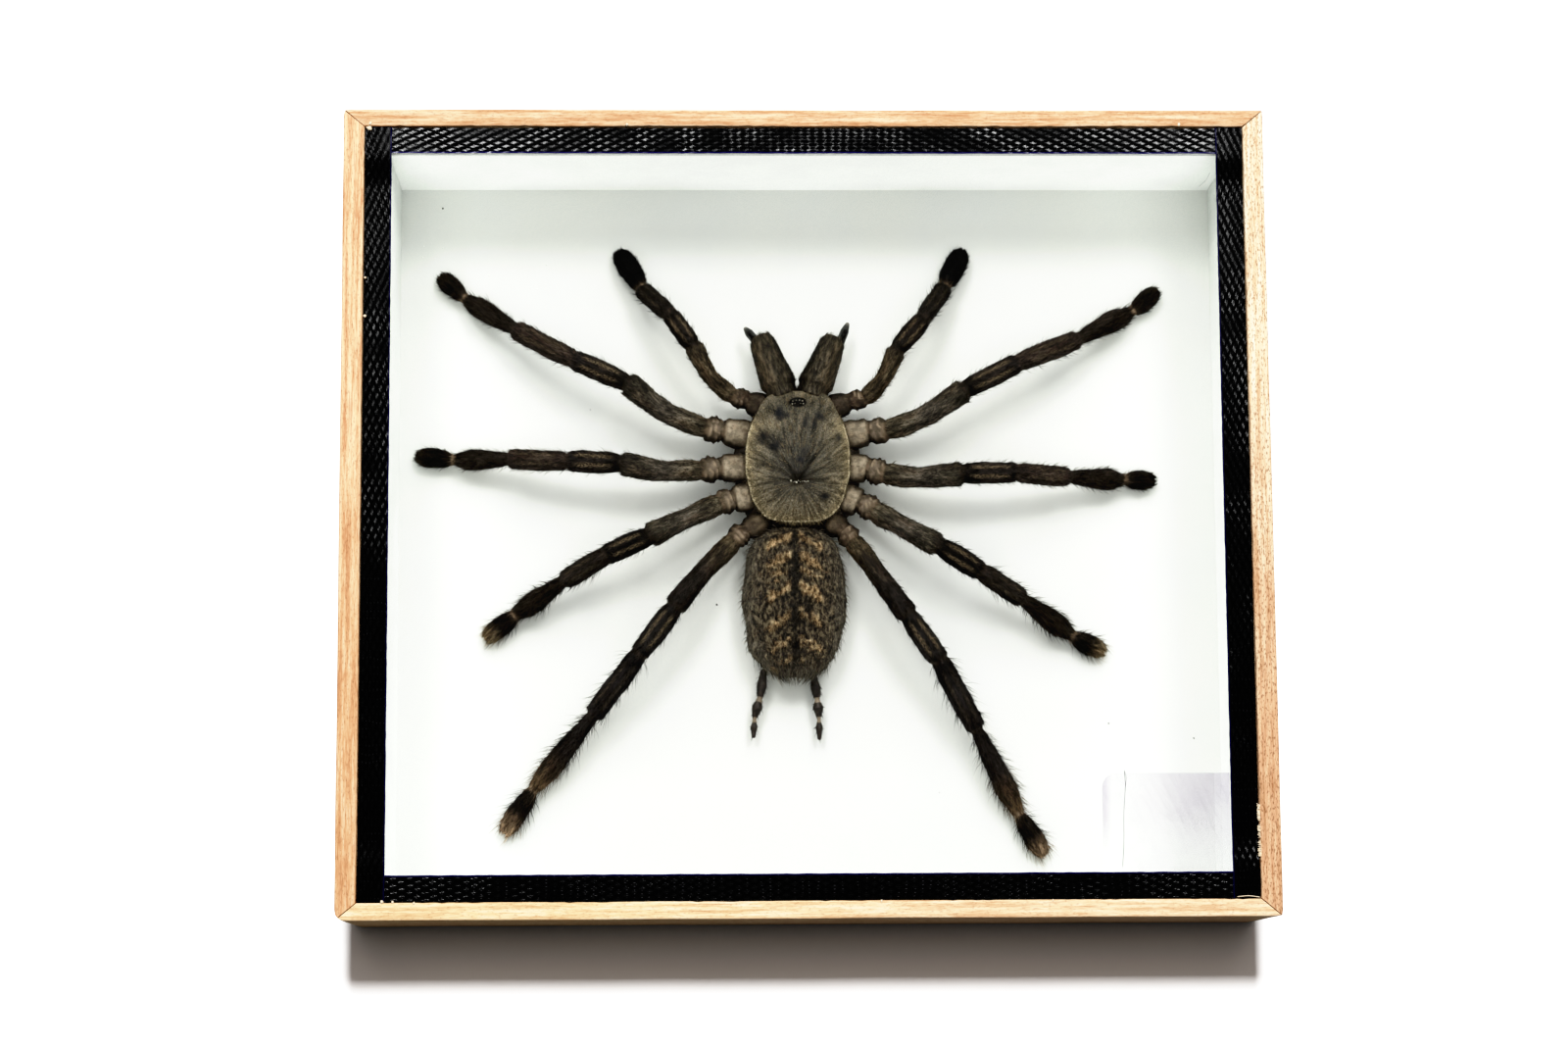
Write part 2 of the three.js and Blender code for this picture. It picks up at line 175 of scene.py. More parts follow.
# ----------------------------------------------------------------- skins --
def grid_faces(rows, columns, closed=True):
    """The faces between a grid's points. A closed grid joins its last column to its first."""
    column = np.arange(columns if closed else columns - 1)
    after = (column + 1) % columns
    start = np.arange(rows - 1)[:, None] * columns
    return np.stack([start + column, start + after, start + columns + after,
                     start + columns + column], axis=-1).reshape(-1, 4)


def skin_faces(rows, sides, flip):
    """Faces of a closed skin: a pole, rows of rings, and a last pole."""
    column = np.arange(sides)
    after = (column + 1) % sides
    last_ring = 1 + (rows - 1) * sides
    first = np.stack([np.zeros(sides, int), 1 + after, 1 + column], axis=-1)
    last = np.stack([np.full(sides, 1 + rows * sides),
                     last_ring + column, last_ring + after], axis=-1)
    faces = [*(1 + grid_faces(rows, sides)), *first, *last]
    return [face[::-1].tolist() if flip else face.tolist() for face in faces]


def skin_normals(points):
    """Outward normals of a grid of points that closes around its columns."""
    around = np.roll(points, -1, axis=1) - np.roll(points, 1, axis=1)
    along = np.gradient(points, axis=0)
    normals = unit(np.cross(around, along))
    outward = points - points.mean(axis=1, keepdims=True)
    inwards = np.sum(normals * outward) < 0
    return (-normals if inwards else normals), inwards


def make_skin(points, first, last, marks):
    """A skin as a grid of rows and columns, with a pole at each end. Its flow runs
    along the rows, from the first pole to the last."""
    normals, inwards = skin_normals(points)
    flow = unit(np.gradient(points, axis=0))
    return SimpleNamespace(points=points, first=first, last=last, marks=marks,
                           normals=normals, flow=flow, flip=bool(inwards))


def raise_skin(skin, height):
    """Moves a skin's points outwards by height and works out its normals again."""
    points = skin.points + skin.normals * height[..., None]
    return make_skin(points, skin.first, skin.last, skin.marks)


def add_skin(name, skin):
    rows, sides = skin.points.shape[:2]
    points = np.vstack([skin.first, skin.points.reshape(-1, 3), skin.last])
    marks = {}
    for mark, values in skin.marks.items():
        flat = values.reshape(rows * sides, *values.shape[2:])
        marks[mark] = np.concatenate([flat[:1], flat, flat[-1:]])
    marks["tint"] = np.full(len(points), 0.5)
    return add_mesh(name, points, skin_faces(rows, sides, skin.flip), marks)


WELD = 1e-7


def cad_rings(node, start):
    """The rings of points that a CAD skin is made of, from the pole nearest start."""
    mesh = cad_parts[node].data
    places = np.array([vertex.co for vertex in mesh.vertices])
    keys, index = np.unique(np.round(places / WELD).astype(np.int64), axis=0,
                            return_inverse=True)
    index = index.ravel()
    places = keys * WELD
    links = defaultdict(set)
    for edge in mesh.edges:
        one, other = (int(index[vertex]) for vertex in edge.vertices)
        links[one].add(other)
        links[other].add(one)
    poles = sorted(links, key=lambda point: -len(links[point]))[:2]
    pole = min(poles, key=lambda point: np.linalg.norm(places[point] - start))
    rings, seen, ring = [], {pole}, [pole]
    while ring:
        rings.append(places[ring])
        ring = sorted({after for point in ring for after in links[point]} - seen)
        seen.update(ring)
    return rings


def cross_axes(along):
    """The upward and the sideways direction across each direction of a path."""
    up = unit(UP - along * along[:, 2:])
    return up, np.cross(up, along)


WAIST = 1.3 * MM                  # length over which a waist is told from the limb's taper
ROOT_ROUNDING = 0.8 * MM          # longest rounding at a loft's near end


def ring_sizes(rings, centres):
    """Each ring's half width and its reach above and below its centre."""
    ups, acrosses = cross_axes(unit(centres[2:] - centres[:-2]))
    count = len(rings[1])
    highest = math.sin(2 * math.pi * round(count / 4) / count)
    return np.array([
        [((ring - centre) @ across).max(), ((ring - centre) @ up).max() / highest,
         (-(ring - centre) @ up).max() / highest]
        for ring, centre, up, across in zip(rings[1:-1], centres[1:-1], ups, acrosses)])


def sample_loft(node, start, spacing, sides, bend, tight, root=0.0, swell=1.0, blunt=1.0):
    """A fine loft through a CAD skin's rings. bend and tight are the lengths over
    which the path and the half sizes are smoothed, root makes the near end longer,
    swell makes the waists and bulges stronger and blunt is how much of the last
    ring's distance to the tip the tip's rounding takes."""
    rings = cad_rings(node, start)
    centres = np.array([ring.mean(axis=0) for ring in rings])
    centres[0] += unit(centres[0] - centres[2]) * root
    arc = np.concatenate([[0], np.cumsum(np.linalg.norm(np.diff(centres, axis=0), axis=1))])
    total = arc[-1]
    steps = int(total / spacing)
    run = (np.arange(steps) + 0.5) / steps * total
    path = soften(resample(centres, arc, run), bend / spacing)
    half = soften(resample(ring_sizes(rings, centres), arc[1:-1], run), tight / spacing)
    half = half * (half / soften(half, WAIST / spacing)) ** (swell - 1)
    from_start = np.clip(run / min(arc[1], ROOT_ROUNDING), 0, 1)
    from_end = np.clip((total - run) / (blunt * (total - arc[-2])), 0, 1)
    rounding = np.sqrt(1 - (1 - from_start) ** 2) * np.sqrt(1 - (1 - from_end) ** 2)
    half = half * rounding[:, None]
    up, across = cross_axes(unit(np.gradient(path, axis=0)))
    angle = 2 * math.pi * np.arange(sides) / sides
    lift = np.where(np.sin(angle) > 0, half[:, 1:2], half[:, 2:3]) * np.sin(angle)
    points = (path[:, None] + across[:, None] * (half[:, :1] * np.cos(angle))[..., None]
              + up[:, None] * lift[..., None])
    return SimpleNamespace(points=points, path=path, half=half, run=run, arc=arc, angle=angle,
                           across=across, first=centres[0], last=centres[-1])


def loft_grain(loft):
    """Coordinates that follow a loft: slow along it, with its cosine and sine around it."""
    shape = loft.points.shape[:2]
    run = (loft.run / MM)[:, None] * 0.13
    return np.stack([lay(part, shape) for part in (run, np.cos(loft.angle),
                                                   np.sin(loft.angle))], axis=-1)


# ------------------------------------------------------------------ hair --
def at(values, row, column):
    """Values of a skin's grid at fractional rows and columns."""
    low = np.clip(np.floor(row).astype(int), 0, len(values) - 2)
    left = np.floor(column).astype(int) % values.shape[1]
    right = (left + 1) % values.shape[1]
    shape = (-1,) + (1,) * (values.ndim - 2)
    down = (row - low).reshape(shape)
    over = (column - np.floor(column)).reshape(shape)
    upper = values[low, left] * (1 - over) + values[low, right] * over
    lower = values[low + 1, left] * (1 - over) + values[low + 1, right] * over
    return upper * (1 - down) + lower * down


def scatter(skin, count, draw, weight):
    """Random places on a skin, in proportion to its area and to weight."""
    around = np.roll(skin.points, -1, axis=1) - skin.points
    along = skin.points[1:] - skin.points[:-1]
    area = np.linalg.norm(np.cross(around[:-1], along), axis=-1) * weight[:-1]
    share = (area / area.sum()).ravel()
    cell = draw.choice(share.size, count, p=share)
    row, column = np.divmod(cell, skin.points.shape[1])
    return row + draw.random(count), column + draw.random(count)


ROOT_DEPTH = 0.03 * MM            # how deep a hair's root is set under the skin
# The faces of a hair, and how near the tip each of its corners is.
SPIKE = (((0, 1, 3), (1, 2, 3), (2, 0, 3), (2, 1, 0)), (0, 0, 0, 1))
BENT_SPIKE = (((0, 1, 4), (0, 4, 3), (1, 2, 5), (1, 5, 4), (2, 0, 3), (2, 3, 5), (3, 4, 6),
               (4, 5, 6), (5, 3, 6), (2, 1, 0)), (0, 0, 0, 0.5, 0.5, 0.5, 1))


def hair_headings(normal, flow, draw, lift, fan):
    """Where hairs point: off the skin by about lift, and off its flow by about fan."""
    turn = draw.normal(0, fan, len(normal))
    rise = np.clip(draw.normal(lift, 0.3 * lift, len(normal)), 0.05, 1.45)
    sideways = np.cross(normal, flow)
    flat = flow * np.cos(turn)[:, None] + sideways * np.sin(turn)[:, None]
    return flat * np.cos(rise)[:, None] + normal * np.sin(rise)[:, None]


def grow(skin, count, draw, weight, length, width, lift, fan=0.35, curve=0.0):
    """Tapered hairs on a skin. lift is the angle off the skin and fan how far the
    hairs turn from its flow. With a curve they bend at their middle, towards the flow."""
    row, column = scatter(skin, count, draw, weight)
    normal = unit(at(skin.normals, row, column))
    flow = at(skin.flow, row, column)
    flow = unit(flow - normal * np.sum(flow * normal, axis=-1, keepdims=True))
    heading = hair_headings(normal, flow, draw, lift, fan)
    size = at(length, row, column) if np.ndim(length) else length
    size = (size * draw.uniform(0.65, 1.25, count))[:, None]
    thick = (width * draw.uniform(0.7, 1.2, count) / 2)[:, None]
    base = at(skin.points, row, column) - normal * ROOT_DEPTH
    first = unit(np.cross(heading, normal) + 1e-6)
    second = np.cross(heading, first)
    spokes = [first * math.cos(turned) + second * math.sin(turned)
              for turned in (math.radians(90), math.radians(210), math.radians(330))]
    corners = [base + spoke * thick for spoke in spokes]
    if curve:
        faces, tipness = BENT_SPIKE
        middle = base + heading * (0.5 * size)
        corners += [middle + spoke * (0.7 * thick) for spoke in spokes]
        corners.append(middle + unit(heading + curve * flow) * (0.5 * size))
    else:
        faces, tipness = SPIKE
        corners.append(base + heading * size)
    per = len(corners)
    marks = {mark: np.repeat(at(values, row, column), per, axis=0)
             for mark, values in skin.marks.items()}
    marks["tint"] = np.repeat(draw.random(count), per)
    marks["tip"] = np.tile(np.array(tipness, float), count)
    faces = (np.array(faces) + per * np.arange(count)[:, None, None]).reshape(-1, 3)
    return SimpleNamespace(points=np.stack(corners, axis=1).reshape(-1, 3), faces=faces,
                           marks=marks)


def add_hair(name, *coats):
    """One mesh of several coats of hair."""
    offsets = np.cumsum([0] + [len(coat.points) for coat in coats])
    faces = np.concatenate([coat.faces + start for coat, start in zip(coats, offsets)])
    marks = {mark: np.concatenate([coat.marks[mark] for coat in coats])
             for mark in coats[0].marks}
    return add_mesh(name, np.concatenate([coat.points for coat in coats]), faces.tolist(), marks)


# ------------------------------------------------------------- materials --
def paint(code):
    """A linear colour from a hex code."""
    parts = [int(code[k:k + 2], 16) / 255 for k in (1, 3, 5)]
    return tuple(p / 12.92 if p < 0.04045 else ((p + 0.055) / 1.055) ** 2.4 for p in parts) + (1,)


class Finish:
    """A material, built node by node. Each call gives back the new node's output."""

    def __init__(self, name, **shader):
        self.material = bpy.data.materials.new(name)
        self.material.use_nodes = True
        self.tree = self.material.node_tree
        self.tree.nodes.clear()
        self.shader = self.add("ShaderNodeBsdfPrincipled")
        self.output = self.add("ShaderNodeOutputMaterial")
        self.cover(self.shader)
        for socket, value in shader.items():
            self.set(socket.replace("_", " ").title().replace("Ior", "IOR"), value)

    def add(self, kind, inputs=None, **settings):
        node = self.tree.nodes.new(kind)
        for setting, value in settings.items():
            setattr(node, setting, value)
        for socket, value in (inputs or {}).items():
            self.feed(node.inputs[socket], value)
        return node

    def feed(self, socket, value):
        if isinstance(value, bpy.types.NodeSocket):
            self.tree.links.new(value, socket)
        else:
            socket.default_value = value

    def set(self, socket, value):
        self.feed(self.shader.inputs[socket], value)

    def mark(self, name, output="Fac"):
        return self.add("ShaderNodeAttribute", attribute_name=name).outputs[output]

    def millimetres(self):
        """The place on the object, in millimetres."""
        place = self.add("ShaderNodeTexCoord").outputs["Object"]
        return self.stretch(place, (1000, 1000, 1000))

    def stretch(self, vector, scale):
        return self.add("ShaderNodeVectorMath", {0: vector, 1: scale},
                        operation="MULTIPLY").outputs[0]

    def noise(self, vector, scale, detail=3.0, roughness=0.55, distortion=0.0):
        return self.add("ShaderNodeTexNoise", {
            "Vector": vector, "Scale": scale, "Detail": detail, "Roughness": roughness,
            "Distortion": distortion}).outputs["Fac"]

    def cells(self, vector, scale):
        return self.add("ShaderNodeTexVoronoi",
                        {"Vector": vector, "Scale": scale}).outputs["Distance"]

    def ramp(self, value, *stops):
        node = self.add("ShaderNodeValToRGB", {"Fac": value})
        elements = node.color_ramp.elements
        while len(elements) < len(stops):
            elements.new(0.5)
        for element, (position, code) in zip(elements, stops):
            element.position = position
            element.color = paint(code) if isinstance(code, str) else (code, code, code, 1)
        return node.outputs["Color"]

    def levels(self, value, low, high, start=0.0, end=1.0):
        return self.add("ShaderNodeMapRange", {
            "Value": value, "From Min": low, "From Max": high, "To Min": start,
            "To Max": end}, interpolation_type="SMOOTHSTEP").outputs[0]

    def parts(self, vector):
        return self.add("ShaderNodeSeparateXYZ", {0: vector}).outputs

    def math(self, operation, one, other=0.0):
        return self.add("ShaderNodeMath", {0: one, 1: other}, operation=operation).outputs[0]

    def times(self, one, other):
        return self.math("MULTIPLY", one, other)

    def mix(self, factor, one, other, blend="MIX"):
        one = paint(one) if isinstance(one, str) else one
        other = paint(other) if isinstance(other, str) else other
        node = self.add("ShaderNodeMix", {0: factor, 6: one, 7: other},
                        data_type="RGBA", blend_type=blend)
        return node.outputs[2]

    def colour(self, red, green, blue):
        return self.add("ShaderNodeCombineColor", {0: red, 1: green, 2: blue}).outputs[0]

    def dim(self, colour, level):
        """The colour made darker or lighter by a level."""
        return self.mix(1.0, colour, self.colour(level, level, level), "MULTIPLY")

    def over(self, colour, mark, strength, other):
        """Another colour laid over a colour where a mark is set."""
        return self.mix(self.times(self.mark(mark), strength), colour, other)

    def cover(self, shader):
        """Puts another shader on the surface in place of the plain one."""
        self.tree.links.new(shader.outputs[0], self.output.inputs["Surface"])

    def bump(self, height, distance, strength=1.0):
        self.set("Normal", self.add("ShaderNodeBump", {
            "Height": height, "Distance": distance, "Strength": strength}).outputs[0])


def wood_finish(name, tone, far_tone, flecks):
    """Pale wood with long grain. tone runs from its dark lines to its light ones,
    far_tone is the same at the rail's -Y or -X end, and flecks is how dense its
    short dark pores are."""
    wood = Finish(name, roughness=0.7, specular_ior_level=0.02)
    grain = wood.mark("grain", "Vector")
    long_grain = wood.noise(wood.stretch(grain, (0.04, 1, 1)), 1.3, 4, 0.6, 0.3)
    fine_grain = wood.noise(wood.stretch(grain, (0.09, 1, 1)), 6.0, 3, 0.65)
    value = wood.math("ADD", wood.times(long_grain, 0.6),
                      wood.times(fine_grain, 0.4))
    near = wood.ramp(value, (0.4, tone[0]), (0.5, tone[1]), (0.6, tone[2]))
    far = wood.ramp(value, (0.4, far_tone[0]), (0.5, far_tone[1]), (0.6, far_tone[2]))
    run = wood.parts(grain)[0]
    wander = wood.times(wood.noise(grain, 0.08, 2), 60.0)
    colour = wood.mix(wood.levels(wood.math("ADD", run, wander), 60.0, -10.0), near, far)
    pores = wood.noise(wood.stretch(grain, (0.8, 2.2, 2.2)), 1.9, 2)
    pores = wood.levels(pores, 0.62 - 0.12 * flecks, 0.7 - 0.12 * flecks)
    colour = wood.mix(wood.times(pores, flecks), colour, "#85593a")
    lines = wood.noise(wood.stretch(grain, (0.03, 1, 1)), 3.0, 2)
    lines = wood.levels(lines, 0.6, 0.7)
    colour = wood.mix(wood.times(lines, 0.35), colour, "#b06f4a")
    wood.set("Base Color", colour)
    wood.bump(wood.math("SUBTRACT", fine_grain, pores), 0.05 * MM, 0.5)
    return wood.material


def tape_finish():
    tape = Finish("black_cloth_tape", roughness=0.17, specular_ior_level=0.6)
    place = tape.millimetres()
    smears = tape.noise(place, 0.5, 4, 0.6)
    colour = tape.ramp(smears, (0.35, "#010102"), (0.75, "#050507"))
    turns = tape.parts(tape.mark("cloth", "Vector"))
    along = tape.math("COSINE", turns[0])
    across = tape.math("COSINE", turns[1])
    # Pale dots at the weave's crossings, in patches on the tape's top, are painted glints.
    crossings = tape.math("ABSOLUTE", tape.times(along, across))
    crossings = tape.levels(crossings, 0.86, 0.99)
    painted_glint_patches = tape.times(tape.levels(tape.noise(place, 0.5, 3), 0.42, 0.66, 0.1, 1.0),
                     tape.levels(turns[2], 0.0, 0.1))
    colour = tape.mix(tape.times(crossings, painted_glint_patches), colour, "#808084")
    tape.set("Base Color", tape.mix(tape.mark("hem"), colour, "#3b2fb0"))
    flat = tape.levels(across, -THREAD_EDGE, THREAD_EDGE, -1.0, 1.0)
    threads = tape.times(tape.times(along, flat), turns[2])
    fuzz = tape.times(tape.noise(place, 7.0, 2), 0.3)
    tape.bump(tape.math("ADD", threads, fuzz), THREAD_HEIGHT)
    return tape.material


def card_finish():
    card = Finish("white_card", roughness=0.9, specular_ior_level=0.2)
    place = card.millimetres()
    fibres = card.noise(place, 2.2, 5, 0.7)
    clouds = card.noise(place, 0.05, 3)
    colour = card.ramp(fibres, (0.3, "#eef1ee"), (0.7, "#f7f8f4"))
    colour = card.mix(card.levels(clouds, 0.4, 0.7, 0, 0.35), colour, "#eceff0")
    card.set("Base Color", colour)
    card.bump(fibres, 0.05 * MM, 0.4)
    return card.material


def foam_finish():
    foam = Finish("white_foam", roughness=0.85, specular_ior_level=0.2)
    place = foam.millimetres()
    cells = foam.cells(place, 2.4)
    soft = foam.noise(place, 0.12, 2)
    colour = foam.ramp(cells, (0.1, "#e9eeea"), (0.6, "#f5f8f5"))
    foam.set("Base Color", foam.mix(foam.levels(soft, 0.4, 0.7, 0, 0.4), colour, "#e9ecea"))
    foam.bump(cells, 0.08 * MM, 0.35)
    return foam.material


def hardboard_finish():
    board = Finish("hardboard", roughness=0.75)
    place = board.millimetres()
    fibres = board.noise(board.stretch(place, (1, 0.5, 1)), 1.6, 5, 0.7)
    colour = board.ramp(fibres, (0.3, "#6b4c33"), (0.5, "#8a6a48"), (0.75, "#a5855f"))
    board.set("Base Color", colour)
    board.bump(fibres, 0.12 * MM, 0.6)
    return board.material


def see_through(pane):
    """Lets shadow and diffuse rays straight through a clear piece."""
    path = pane.add("ShaderNodeLightPath").outputs
    lamp = pane.math("MAXIMUM", path["Is Shadow Ray"], path["Is Diffuse Ray"])
    clear = pane.add("ShaderNodeBsdfTransparent", {"Color": (0.985, 0.985, 0.975, 1)})
    mixed = pane.add("ShaderNodeMixShader", {0: lamp})
    pane.tree.links.new(pane.shader.outputs[0], mixed.inputs[1])
    pane.tree.links.new(clear.outputs[0], mixed.inputs[2])
    pane.cover(mixed)


def glass_finish():
    pane = Finish("picture_glass", roughness=0.0, ior=1.3)
    pane.set("Transmission Weight", 1.0)
    smudges = pane.noise(pane.millimetres(), 0.06, 3)
    pane.set("Base Color", pane.ramp(smudges, (0.3, "#fdfdfb"), (0.7, "#fefefd")))
    see_through(pane)
    return pane.material


LABEL_EDGE = 50.0                 # where the label's left edge is, in mm


def label_finish():
    """Clear film: it dims what is behind it a little, most to its right, and less and less
    downwards. Along its left edge it carries a band of painted shadow."""
    film = Finish("clear_label", roughness=0.35)
    place = film.millimetres()
    across, ahead, _ = film.parts(place)
    fade = film.times(film.levels(across, 51.0, 66.0, 0.03, 0.14),
                      film.levels(ahead, -62.0, -50.0, 0.2, 1.0))
    edge = film.math("ABSOLUTE", film.math("SUBTRACT", across, LABEL_EDGE))
    # A band of painted shadow along the left edge, fading downwards.
    edge_shadow = film.times(film.levels(edge, 0.0, 1.6, 0.13, 0.0),
                        film.levels(ahead, -60.0, -52.0))
    veil = film.math("ADD", film.math("ADD", fade, edge_shadow),
                     film.levels(film.noise(place, 0.15, 2), 0.35, 0.65, -0.01, 0.01))
    tint = film.colour(*[film.math("SUBTRACT", 1.0, film.times(veil, part))
                         for part in (0.95, 1.1, 0.8)])
    clear = film.add("ShaderNodeBsdfTransparent", {"Color": tint})
    film.cover(clear)
    return film.material


def mottled_finish(name, dark, light, grain=(4.0, 3), low=0.35, high=0.65, bump=0.0,
                   **shader):
    """A plain material with a fine mottle between two colours. grain is the mottle's
    scale and detail, and low and high are where its colours lie on the ramp."""
    finish = Finish(name, **shader)
    mottle = finish.noise(finish.millimetres(), *grain)
    finish.set("Base Color", finish.ramp(mottle, (low, dark), (high, light)))
    if bump:
        finish.bump(mottle, bump, 0.6)
    return finish.material


def coat(finish, colour, dark=0.35, light=2.1, tip=1.3):
    """Makes each hair darker or lighter than the skin under it, and its tip lighter."""
    tint = finish.levels(finish.mark("tint"), 0.0, 1.0, dark, light)
    tipped = finish.levels(finish.mark("tip"), 0.2, 1.0, 1.0, tip)
    return finish.dim(colour, finish.times(tint, tipped))


SEGMENTS = {
    "leg": ["coxa", "trochanter", "femur", "patella", "tibia", "metatarsus", "tarsus"],
    "pedipalp": ["coxa", "trochanter", "femur", "patella", "tibia", "tarsus"],
}
# Each segment's three colours stand at its start, middle and end. A coxa's dark first colour is
# painted shade at its root, under the carapace's rim.
FRONT_LEG_COLOURS = {
    "coxa": ("#1f1b16", "#776e60", "#968c7c"),
    "trochanter": ("#575045", "#70665a", "#544d42"),
    "femur": ("#5a5448", "#534e47", "#423e36"),
    "patella": ("#181512", "#302b27", "#262220"),
    "tibia": ("#352e29", "#3b342e", "#322b26"),
    "metatarsus": ("#241f1a", "#2b251f", "#2a241e"),
    "tarsus": ("#201b16", "#1b1713", "#2a241b"),
}
THIRD_LEG_COLOURS = {
    **FRONT_LEG_COLOURS,
    "tarsus": ("#201b16", "#1b1713", "#857863"),
    "patella": ("#100e0c", "#191614", "#191614"),
    "tibia": ("#2a2521", "#2e2924", "#292420"),
}
HIND_LEG_COLOURS = {
    **FRONT_LEG_COLOURS,
    "coxa": ("#211d18", "#5d5447", "#463f36"),
    "trochanter": ("#4b4339", "#5c5146", "#5b5145"),
    "femur": ("#544c3e", "#302b26", "#211d1a"),
    "patella": ("#1d1a18", "#2a2725", "#211e1c"),
    "tibia": ("#1d1a19", "#242120", "#211d1c"),
    "metatarsus": ("#221e1c", "#2b2623", "#5d5040"),
    "tarsus": ("#25201b", "#1f1a16", "#93806c"),
}
PALP_COLOURS = {
    **FRONT_LEG_COLOURS,
    "coxa": ("#1b1713", "#443c34", "#3a342c"),
    "trochanter": ("#352f28", "#54493f", "#3d362e"),
    "femur": ("#544c3f", "#544c3f", "#4a4338"),
    "patella": ("#1b1815", "#2c2723", "#221e1b"),
    "tibia": ("#211d1a", "#211d19", "#171412"),
    "tarsus": ("#0b0908", "#070605", "#0a0807"),
}


def limb_finish(name, segments, colours):
    """Colour by segment, streaked along the limb, with pale joints and bald stripes, and painted
    shade under the femur's sides and on the sides of the coxae and trochanters.
    """
    limb = Finish(name, roughness=0.7, specular_ior_level=0.2)
    stops = []
    for number, segment in enumerate(segments):
        for share, code in zip((0.06, 0.5, 0.94), colours[segment]):
            stops.append(((number + share) / len(segments), code))
    colour = limb.ramp(limb.mark("place"), *stops)
    grain = limb.mark("grain", "Vector")
    streaks = limb.noise(grain, 4.5, 4, 0.7)
    bands = limb.noise(grain, 1.6, 2, 0.6)
    fine = limb.noise(limb.stretch(grain, (3, 1, 1)), 9.0, 2)
    clumps = limb.noise(limb.stretch(grain, (2.2, 1, 1)), 1.6, 2)
    shade = limb.levels(streaks, 0.36, 0.64, 0.45, 1.6)
    shade = limb.times(shade, limb.levels(bands, 0.35, 0.65, 0.7, 1.3))
    shade = limb.times(shade, limb.levels(clumps, 0.35, 0.65, 0.85, 1.15))
    shade = limb.times(shade, limb.levels(fine, 0.35, 0.65, 0.8, 1.2))
    calm = limb.levels(limb.noise(limb.millimetres(), 0.9, 4, 0.65), 0.38, 0.62, 0.7, 1.25)
    shade = limb.add("ShaderNodeMix", {0: limb.mark("calm"), 2: shade, 3: calm}).outputs[0]
    colour = limb.dim(colour, shade)
    warm = limb.levels(limb.noise(grain, 1.1, 2), 0.5, 0.66, 0, 0.3)
    colour = limb.mix(warm, colour, "#7a5a44", "SOFT_LIGHT")
    folded = limb.times(limb.mark("fold"), limb.levels(clumps, 0.35, 0.6, 0.2, 0.8))
    colour = limb.mix(folded, colour, "#a39481")
    # Painted shade: dark bands just under each femur's sides.
    colour = limb.over(colour, "edge", 0.6, "#141210")
    bare = limb.times(limb.mark("bald"), limb.levels(fine, 0.35, 0.6))
    colour = limb.mix(bare, colour, "#a3937a")
    colour = limb.over(colour, "crease", 0.85, "#0c0a08")
    ring = limb.times(limb.mark("ring"), limb.levels(clumps, 0.35, 0.6, 0.2, 0.85))
    colour = limb.mix(ring, colour, "#a08d78")
    # Painted shade: the coxae and trochanters darken away from their tops.
    shaded = limb.times(limb.mark("calm"), limb.mark("shade"))
    colour = limb.mix(limb.times(shaded, 0.85), colour, "#1b1713")
    limb.set("Base Color", coat(limb, colour))
    limb.bump(streaks, 0.15 * MM, 1.0)
    return limb.material


# ------------------------------------------------- camera, light and floor --
CAMERA_PLACE = (-20.48 * MM, -89.45 * MM, 629.18 * MM)
CAMERA_TURN = (8.273, -1.525, -0.3485)
CAMERA_LENS = 81.0


def add_camera():
    data = bpy.data.cameras.new("camera")
    data.sensor_width = 36.0
    data.lens = CAMERA_LENS
    data.clip_start = 0.01
    camera = bpy.data.objects.new("camera", data)
    camera.location = CAMERA_PLACE
    camera.rotation_euler = [math.radians(turn) for turn in CAMERA_TURN]
    bpy.context.scene.collection.objects.link(camera)
    bpy.context.scene.camera = camera


CONTRAST = ((0.0, 0.0), (0.02, 0.003), (0.045, 0.016), (0.08, 0.045), (0.15, 0.12),
            (0.3, 0.31), (0.5, 0.58), (0.7, 0.83), (0.85, 0.94), (1.0, 1.0))


def add_contrast(view):
    """The firm contrast of a studio print, set on linear light."""
    view.view_transform = "Standard"
    view.use_curve_mapping = True
    curve = view.curve_mapping.curves[3]
    while len(curve.points) < len(CONTRAST):
        curve.points.new(0.5, 0.5)
    for point, place in zip(curve.points, CONTRAST):
        point.location = place
        point.handle_type = "VECTOR"
    view.curve_mapping.update()


def lamp_place(lean, turn, distance):
    """A place seen from the frame leaning towards +Y and turned towards +X."""
    lean, turn = math.radians(lean), math.radians(turn)
    direction = Vector((math.tan(turn), math.tan(lean), 1)).normalized()
    return direction * distance


def add_softbox(name, place, size, power, lit, colour):
    """A rectangular lamp aimed at the frame that lights the objects in lit."""
    data = bpy.data.lights.new(name, "AREA")
    data.shape = "RECTANGLE"
    data.size, data.size_y = size
    data.energy = power
    data.color = colour
    lamp = bpy.data.objects.new(name, data)
    lamp.location = place
    lamp.rotation_euler = (-Vector(place)).to_track_quat("-Z", "Y").to_euler()
    bpy.context.scene.collection.objects.link(lamp)
    receivers = bpy.data.collections.new(name + "_lit")
    for piece in lit:
        receivers.objects.link(piece)
    lamp.light_linking.receiver_collection = receivers


